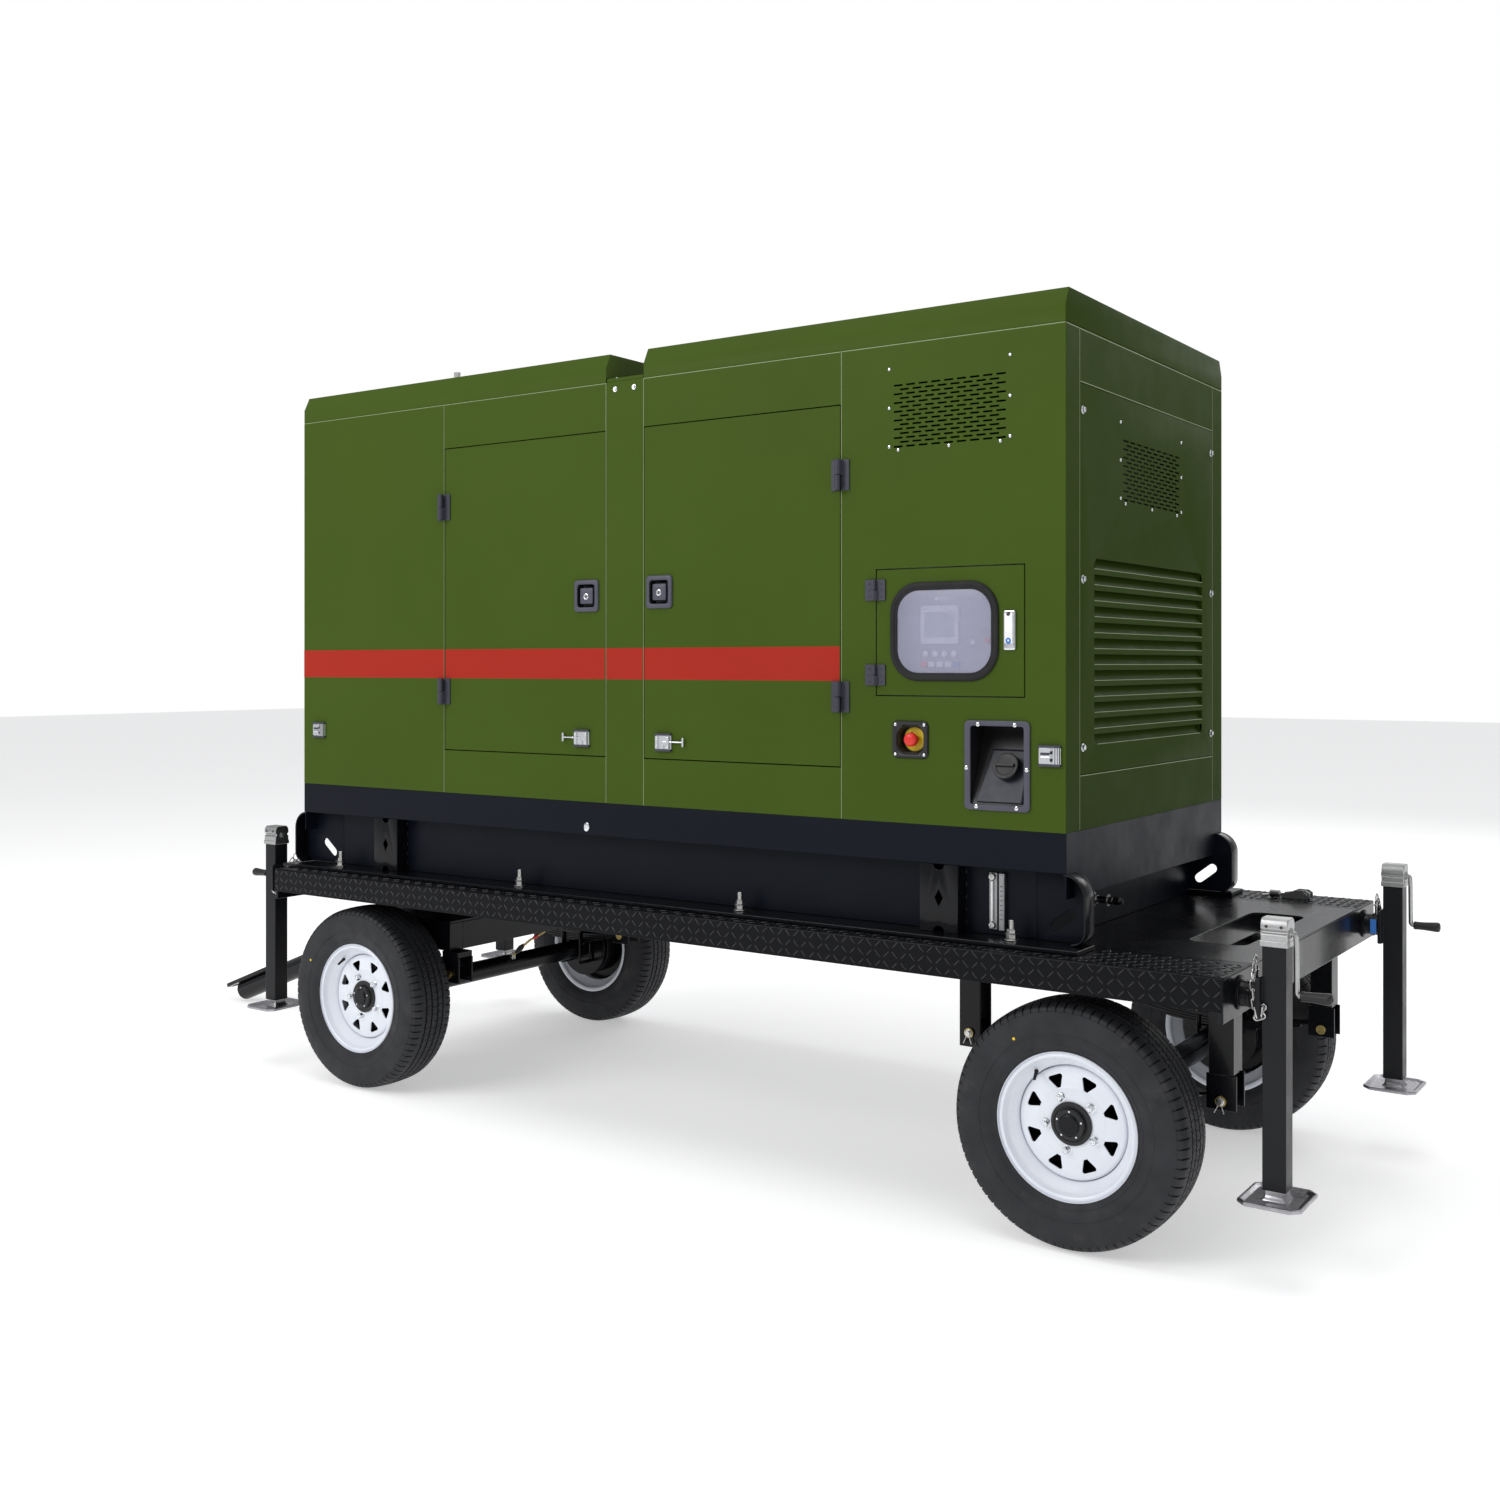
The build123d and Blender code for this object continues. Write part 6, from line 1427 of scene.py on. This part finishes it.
def jack(ax, side, s):
    d = 1 if ax == "rear" else -1
    jx = 2398.0 if ax == "rear" else -1407.0
    ex = 2305.0 if ax == "rear" else -1251.0
    Y = s * 628.0
    base = f"jack_{ax}_{side}"

    def col(lo, hi):
        w, h = hi[0] - lo[0], hi[2] - lo[2]
        if lo[2] > 845:
            return None                            # head
        if w < 20 and h < 60:
            return None                            # pull pin
        if w < 25:
            return (ZINC, 0.6)                     # lifting screw
        return (JACKB, 2.2)
    refine(base + "_column", col, segs=3)
    lg = Mesh()
    lg.loft([[(jx + p[0], Y + p[1], z) for p in rrect(0, 0, 50, 50, 5, 4)] for z in (214, 640)])
    lg.obj(base + "_inner_tube", ZINC, base + "_leg", slot="zinc", nodes=[base + "_leg"], angle=40)
    ft = Mesh()

    def cut(w, h, c, z):
        a, b = w / 2, h / 2
        pts = [(a, -b + c), (a, b - c), (a - c, b), (-a + c, b), (-a, b - c), (-a, -b + c), (-a + c, -b), (a - c, -b)]
        cy0 = (-535 - 721) / 2 * (1 if s < 0 else -1)
        return [(jx + p[0], cy0 + p[1], z) for p in pts]
    ft.loft([cut(150, 180, 22, 212.2), cut(155, 185, 22, 214), cut(156, 186, 22, 220), cut(154, 184, 22, 222.6), cut(146, 176, 20, 223.4), cut(138, 168, 19, 221.8), cut(128, 158, 17, 217.4), cut(120, 150, 16, 216.4)])
    ft.obj(base + "_foot", PADM, base + "_leg", slot="zinc", angle=30, bevel=0.6, limit=35)
    wl = Mesh()
    wl.loft([[(jx + p[0], Y + p[1], z) for p in rrect(0, 0, w, w, 7, 4)] for z, w in ((216.2, 64), (219, 62), (222, 55), (228, 51))])
    wl.obj(base + "_foot_weld", PADM, base + "_leg", slot="zinc", angle=60)
    # head: folded zinc cover with rolled grooves and a bottom band
    m = Mesh()
    prof = [(-31, 850.5), (-31, 868), (-29, 870), (-25.5, 872.5), (-25.5, 876), (-29, 879), (-31.5, 882), (-31.5, 893), (-27, 903), (-20, 907.4), (20, 907.4), (27, 903), (31.5, 893), (31.5, 882), (29, 879), (25.5, 876), (25.5, 872.5), (29, 870), (31, 868), (31, 850.5)]
    rings = []
    for k, (dx, inset) in enumerate(((-33.4, 3.0), (-32.6, 1.0), (-31, 0), (31, 0), (32.6, 1.0), (33.4, 3.0))):
        rings.append([(jx + dx, Y + p * (1 - inset / 31), 879 + (z - 879) * (1 - inset / 31)) for p, z in prof])
    m.loft(rings)
    m.obj(base + "_head", ZINC, base, bevel=0.9, slot="zinc", limit=35)
    m = Mesh()
    m.box(jx - 34, jx + 34, Y - 33, Y + 33, 838, 853)
    m.obj(base + "_head_band", ZINC, base, bevel=1.8, segs=3, slot="zinc")
    z_ = bin_(base, ZINC)
    z_.lathe([(13, 0), (13, 2.5), (10, 4), (8, 4), (8, 7)], (jx + d * 32.6, Y, 872), (d, 0, 0), 24)
    z_.bolt((jx - d * 33, Y, 872), (-d, 0, 0), 8, 5, 2)
    st = bin_(base, STEEL)
    for a in (-18, 18):
        st.lathe([(4, 0), (4, 1.6), (2.4, 2.2)], (jx + a, Y + s * 31.2, 888), (0, s, 0), 14)
    # hinge plate welded to the column on the sleeve side
    pl = bin_(base, JACKB)
    y0, y1 = Y - 40, Y + 40
    pl.box(jx - d * 29.2, jx - d * 36, y0, y1, 660, 764)
    # pull pin with its ring, chain and eye
    px = ex + d * 40
    br = bin_(base, BRIGHT)
    br.cyl((px, Y, 742), (px, Y, 785.5), 6.4, 6.4, n=20)
    br.lathe([(9.5, 0), (9.5, 3), (7, 5)], (px, Y, 771), (0, 0, 1), 24)
    ring = [(px + 15 * sin(tau * k / 28), Y, 785 - 15 + 16 + 13 * (-cos(tau * k / 28))) for k in range(28)]
    ring = [(px, Y + 14 * sin(tau * k / 28), 785 + 11 - 13 * cos(tau * k / 28)) for k in range(28)]
    br.tube(ring, 1.9, n=10, wrap=True, cap=False)
    c = Mesh()
    eye = (jx - d * 24, Y + s * 35, 690)
    hang = []
    p0 = Vector((px, Y + s * 15, 790))
    p1 = Vector(eye)
    over = Vector((px + d * 2, Y + s * 42, 768))
    low = Vector(((px + jx) / 2 - d * 6, Y + s * 47, 622))
    cps = [p0, over, Vector((px + d * 4, Y + s * 47, 700)), low, Vector((jx - d * 26, Y + s * 45, 650)), p1]
    for i in range(41):
        t = i / 40
        # Bezier of the hanging loop
        q = list(cps)
        while len(q) > 1:
            q = [q[k].lerp(q[k + 1], t) for k in range(len(q) - 1)]
        hang.append(q[0])
    chain(c, hang)
    c.obj(base + "_chain", BRIGHT, base, slot="zinc", angle=60)
    ey = [(eye[0] + 7 * cos(tau * k / 20), eye[1], eye[2] + 7 * sin(tau * k / 20)) for k in range(20)]
    br.tube(ey, 2.2, n=10, wrap=True, cap=False)
    br.cyl((eye[0], Y + s * 28.6, eye[2] + 4), (eye[0], eye[1], eye[2] + 7), 3.0, n=12)
    if ax == "rear" and side == "far":
        t = bin_(base, BLUE)
        t.box(px - 9, px + 9, Y - 50, Y - 48.6, 690, 735)
    # crank: bent round bar and tapered grip
    a = Mesh()
    path = [(jx + d * 24, Y, 872), (jx + d * 36, Y, 872)] + [(jx + d * (36 + 9 * sin(radians(t))), Y, 872 - 9 * (1 - cos(radians(t)))) for t in (20, 40, 60, 80, 90)]
    path += [(jx + d * 46, Y, 840), (jx + d * 47, Y, 736)]
    path += [(jx + d * (47 + 9 * (1 - cos(radians(t)))), Y, 729 - 9 * sin(radians(t))) for t in (0, 25, 50, 75, 90)]
    path += [(jx + d * 64, Y, 720), (jx + d * 128, Y, 720)]
    a.tube(path, 6.6, n=16)
    a.obj(base + "_crank_bar", ZINC, base + "_crank", slot="zinc", angle=40, nodes=[base + "_crank"])
    g = Mesh()
    L = 132 - 56
    prof = [(9, 0), (11.5, 0.6), (12.6, 3), (12.0, 12), (12.4, 30), (13.8, 50), (14.9, 64), (15.0, 69), (13.8, 73), (10.5, L - 0.6), (6, L - 0.2), (5.6, L - 2)]
    g.lathe(prof, (jx + d * 56, Y, 720), (d, 0, 0), 40)
    g.obj(base + "_grip", BPLA, base + "_crank", slot="black_plastic", angle=40)


for ax in ("rear", "front"):
    for s, side in ((NEAR, "near"), (FAR, "far")):
        jack(ax, side, s)


# ------------------------------------------------------------------ engine bay
def engine_rule(lo, hi):
    w, d, h = (hi[i] - lo[i] for i in range(3))
    if hi[2] < 1100.5 and w < 70:
        return (RUB, 2.0)                          # mounts
    if w < 85 and h < 140 and hi[2] < 1260:
        return (BLACK, 1.5)
    if lo[2] > 1575 and w > 380 and lo[1] > 200:
        return (BPLA, 2.5)                         # air filter
    if lo[2] > 1650:
        return (CORE, 6.0)                         # rocker cover
    if hi[2] < 1235:
        return (BLACK, 6.0)                        # sump
    if w < 260 and d < 90 and h < 90:
        return (YELL, 3.0)                         # oil filter
    if 1570 < lo[2] and d < 80:
        return (CORE if lo[1] > 0 else STEEL, 5.0)
    return (ENG, 5.0)


refine("engine", engine_rule, segs=3)
refine("alternator", lambda lo, hi: (RUB, 2.0) if hi[2] < 1101 else ((BLACK, 1.5) if hi[2] < 1240 and hi[0] - lo[0] < 140 else (ALT, 5.0)), segs=3)


def radiator_rule(lo, hi):
    w = hi[0] - lo[0]
    if abs(lo[0] + 1125) < 2 and abs(hi[0] + 1075) < 2:
        return (CORE, 1.0)
    return (BLACK, 2.5)


refine("radiator", radiator_rule)
refine("exhaust_system", EXH, width=2.0, segs=3)
refine("exhaust_flap", ZINC, width=0.8)
refine("battery", lambda lo, hi: (BATT, 4.0) if hi[2] - lo[2] > 80 else (STEEL, 1.5), segs=3)
refine("crank_train", STEEL, width=2.0)

rb = lambda n: [v / K for v in (list(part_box(n)[0]) + list(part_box(n)[1]))]
# radiator fins and filler neck
bx = rb("radiator")
f = bin_("chassis", CORE)
for i in range(34):
    z = 1190 + i * 26.0
    if z > 2060:
        break
    f.box(-1072, -1068.5, -430, 430, z, z + 3)
g = bin_("chassis", BRIGHT)
g.lathe([(26, 0), (26, 10), (31, 11), (31, 17), (28, 20), (10, 21.5)], (-1100, 0, bx[5] - 2), (0, 0, 1), 36)
# coolant hoses between engine and radiator
h = Mesh()
h.tube([(-1070, 250, 1950), (-1010, 250, 1950), (-960, 230, 1930), (-900, 150, 1800), (-870, 80, 1700), (-830, 40, 1690)], 24, n=24)
h.tube([(-1070, -250, 1230), (-1000, -250, 1225), (-940, -220, 1250), (-880, -160, 1300), (-850, -120, 1320)], 26, n=24)
h.obj("coolant_hoses", RUB, "chassis", angle=50)
hc = bin_("chassis", BRIGHT)
for p, d in (((-1040, 250, 1950), (1, 0, 0)), ((-1035, -250, 1227), (1, 0, 0))):
    hc.lathe([(27, -6), (28.6, -5), (28.6, 5), (27, 6)], p, d, 32)
# oil filter, starter and injector lines
e = bin_("chassis", YELL)
e.lathe([(40, 0), (44, 4), (44, 110), (40, 118), (30, 122)], (-640, 176, 1390), (0.0, 1.0, -0.55), 40)
s_ = bin_("chassis", BLACK)
s_.lathe([(36, 0), (38, 3), (38, 130), (32, 140), (20, 144)], (-140, -215, 1300), (-1, 0, 0), 36)
s_.lathe([(22, 0), (23, 2), (23, 78), (16, 84)], (-150, -222, 1368), (-1, 0, 0), 28)
il = Mesh()
for k in range(6):
    x = -760 + k * 112
    il.tube([(x, 100, 1735), (x + 6, 120, 1752), (x + 10, 150, 1740), (x + 4, 176, 1690), (x - 40, 186, 1560), (-520 + k * 18, 186, 1500)], 3.2, n=10)
il.obj("injector_lines", BRIGHT, "chassis", angle=50)
pu = bin_("chassis", CORE)
pu.box(-560, -400, 168, 228, 1420, 1500)
bo = bin_("chassis", BRIGHT)
for k in range(6):
    for y in (-78, 78):
        bo.bolt((-790 + k * 127, y, 1729.4), (0, 0, 1), 9, 8, 2)
for k in range(14):
    a = tau * k / 14
    bo.bolt((59, 205 * cos(a), 1380 + 205 * sin(a)), (1, 0, 0), 8, 7, 1.5)
fc = bin_("chassis", BPLA)
fc.lathe([(30, 0), (33, 2), (33, 16), (28, 20), (12, 21)], (-470, 0, 1729), (0, 0, 1), 32)
# fan with curved blades on a hub
fan = Mesh()
for k in range(8):
    a0 = tau * k / 8
    rings = []
    for r_, tw in ((70, 40), (150, 32), (240, 24), (330, 18)):
        ca, sa = cos(a0 + r_ * 0.0009), sin(a0 + r_ * 0.0009)
        cx_, cy_, cz_ = -985.0, r_ * ca, 1560 + r_ * sa
        tx = (cos(radians(tw)), -sa * sin(radians(tw)), ca * sin(radians(tw)))
        hw = 34 if r_ > 100 else 24
        rings.append([(cx_ + tx[0] * q * hw - (1 - q * q) * 6, cy_ + tx[1] * q * hw, cz_ + tx[2] * q * hw) for q in (-1, -0.5, 0, 0.5, 1)] + [(cx_ + tx[0] * q * hw - (1 - q * q) * 6 + 4, cy_ + tx[1] * q * hw, cz_ + tx[2] * q * hw) for q in (1, 0.5, 0, -0.5, -1)])
    fan.loft(rings)
fan.lathe([(78, -26), (80, -22), (80, 22), (60, 30), (20, 32)], (-985, 0, 1560), (-1, 0, 0), 40)
fan.obj("fan_blades", FAN, "crank_train", angle=40)
# battery terminals
b0 = rb("battery")
t = bin_("chassis", RPLA)
t.lathe([(16, 0), (17, 2), (17, 14), (13, 20), (4, 21)], ((b0[0] + b0[3]) / 2 - 70, (b0[1] + b0[4]) / 2, b0[5] - 1), (0, 0, 1), 24)
t = bin_("chassis", BPLA)
t.lathe([(16, 0), (17, 2), (17, 14), (13, 20), (4, 21)], ((b0[0] + b0[3]) / 2 + 70, (b0[1] + b0[4]) / 2, b0[5] - 1), (0, 0, 1), 24)
# alternator end grille
a0 = rb("alternator")
ag = bin_("chassis", STEEL)
for k in range(18):
    a = tau * k / 18
    ag.box(a0[3] - 1.0, a0[3] + 0.8, 150 * cos(a) - 4, 150 * cos(a) + 4, 1380 + 150 * sin(a) - 4, 1380 + 150 * sin(a) + 4)

# ------------------------------------------------------------------ flush gathered hardware
for (body, mn), mesh in sorted(BIN.items()):
    mesh.obj(f"fittings_{body}_{mn}", MATS[mn], body, bevel=0.4, angle=38, limit=45)

# ------------------------------------------------------------------ floor, light, world
FLOOR = Mat("studio_floor")
FLOOR.set(color=(0.86, 0.86, 0.86, 1), rough=0.6, spec=0.1, emit=(1, 1, 1, 1), emits=0.42)
fm = bpy.data.meshes.new("floor")
fm.from_pydata([(-40, -40, -0.001), (40, -40, -0.001), (40, 40, -0.001), (-40, 40, -0.001)], [], [(0, 1, 2, 3)])
fm.materials.append(FLOOR.m)
floor = bpy.data.objects.new("floor", fm)
bpy.context.scene.collection.objects.link(floor)


def area(name, loc, target, size, power, color=(1, 1, 1)):
    L = bpy.data.lights.new(name, "AREA")
    L.shape = "RECTANGLE"
    L.size, L.size_y = size
    L.energy = power
    L.color = color
    ob = bpy.data.objects.new(name, L)
    ob.location = loc
    ob.rotation_euler = (Vector(target) - Vector(loc)).to_track_quat("-Z", "Y").to_euler()
    bpy.context.scene.collection.objects.link(ob)
    return ob


area("key", (-3.5, -8.5, 6.0), (0.3, 0, 1.2), (6, 4), 430)
area("top", (0.3, -1.0, 8.5), (0.3, 0, 1.0), (8, 6), 260)
area("side", (8.0, -3.5, 2.2), (0.8, 0, 1.0), (3, 3), 45)
area("far", (2.0, 9.0, 6.0), (0.3, 0, 1.2), (7, 4), 200)

# plain studio: a white surround behind the object and a softer one that lights it
W = bpy.data.worlds.new("studio")
bpy.context.scene.world = W
W.use_nodes = True
wt = W.node_tree
bg = wt.nodes["Background"]
bg.inputs[0].default_value = (0.97, 0.98, 1.0, 1)
bg.inputs[1].default_value = 0.46
wh = wt.nodes.new("ShaderNodeBackground")
wh.inputs[0].default_value = (1, 1, 1, 1)
wh.inputs[1].default_value = 1.0
lp = wt.nodes.new("ShaderNodeLightPath")
mx = wt.nodes.new("ShaderNodeMixShader")
wt.links.new(lp.outputs["Is Camera Ray"], mx.inputs[0])
wt.links.new(bg.outputs[0], mx.inputs[1])
wt.links.new(wh.outputs[0], mx.inputs[2])
wt.links.new(mx.outputs[0], wt.nodes["World Output"].inputs[0])
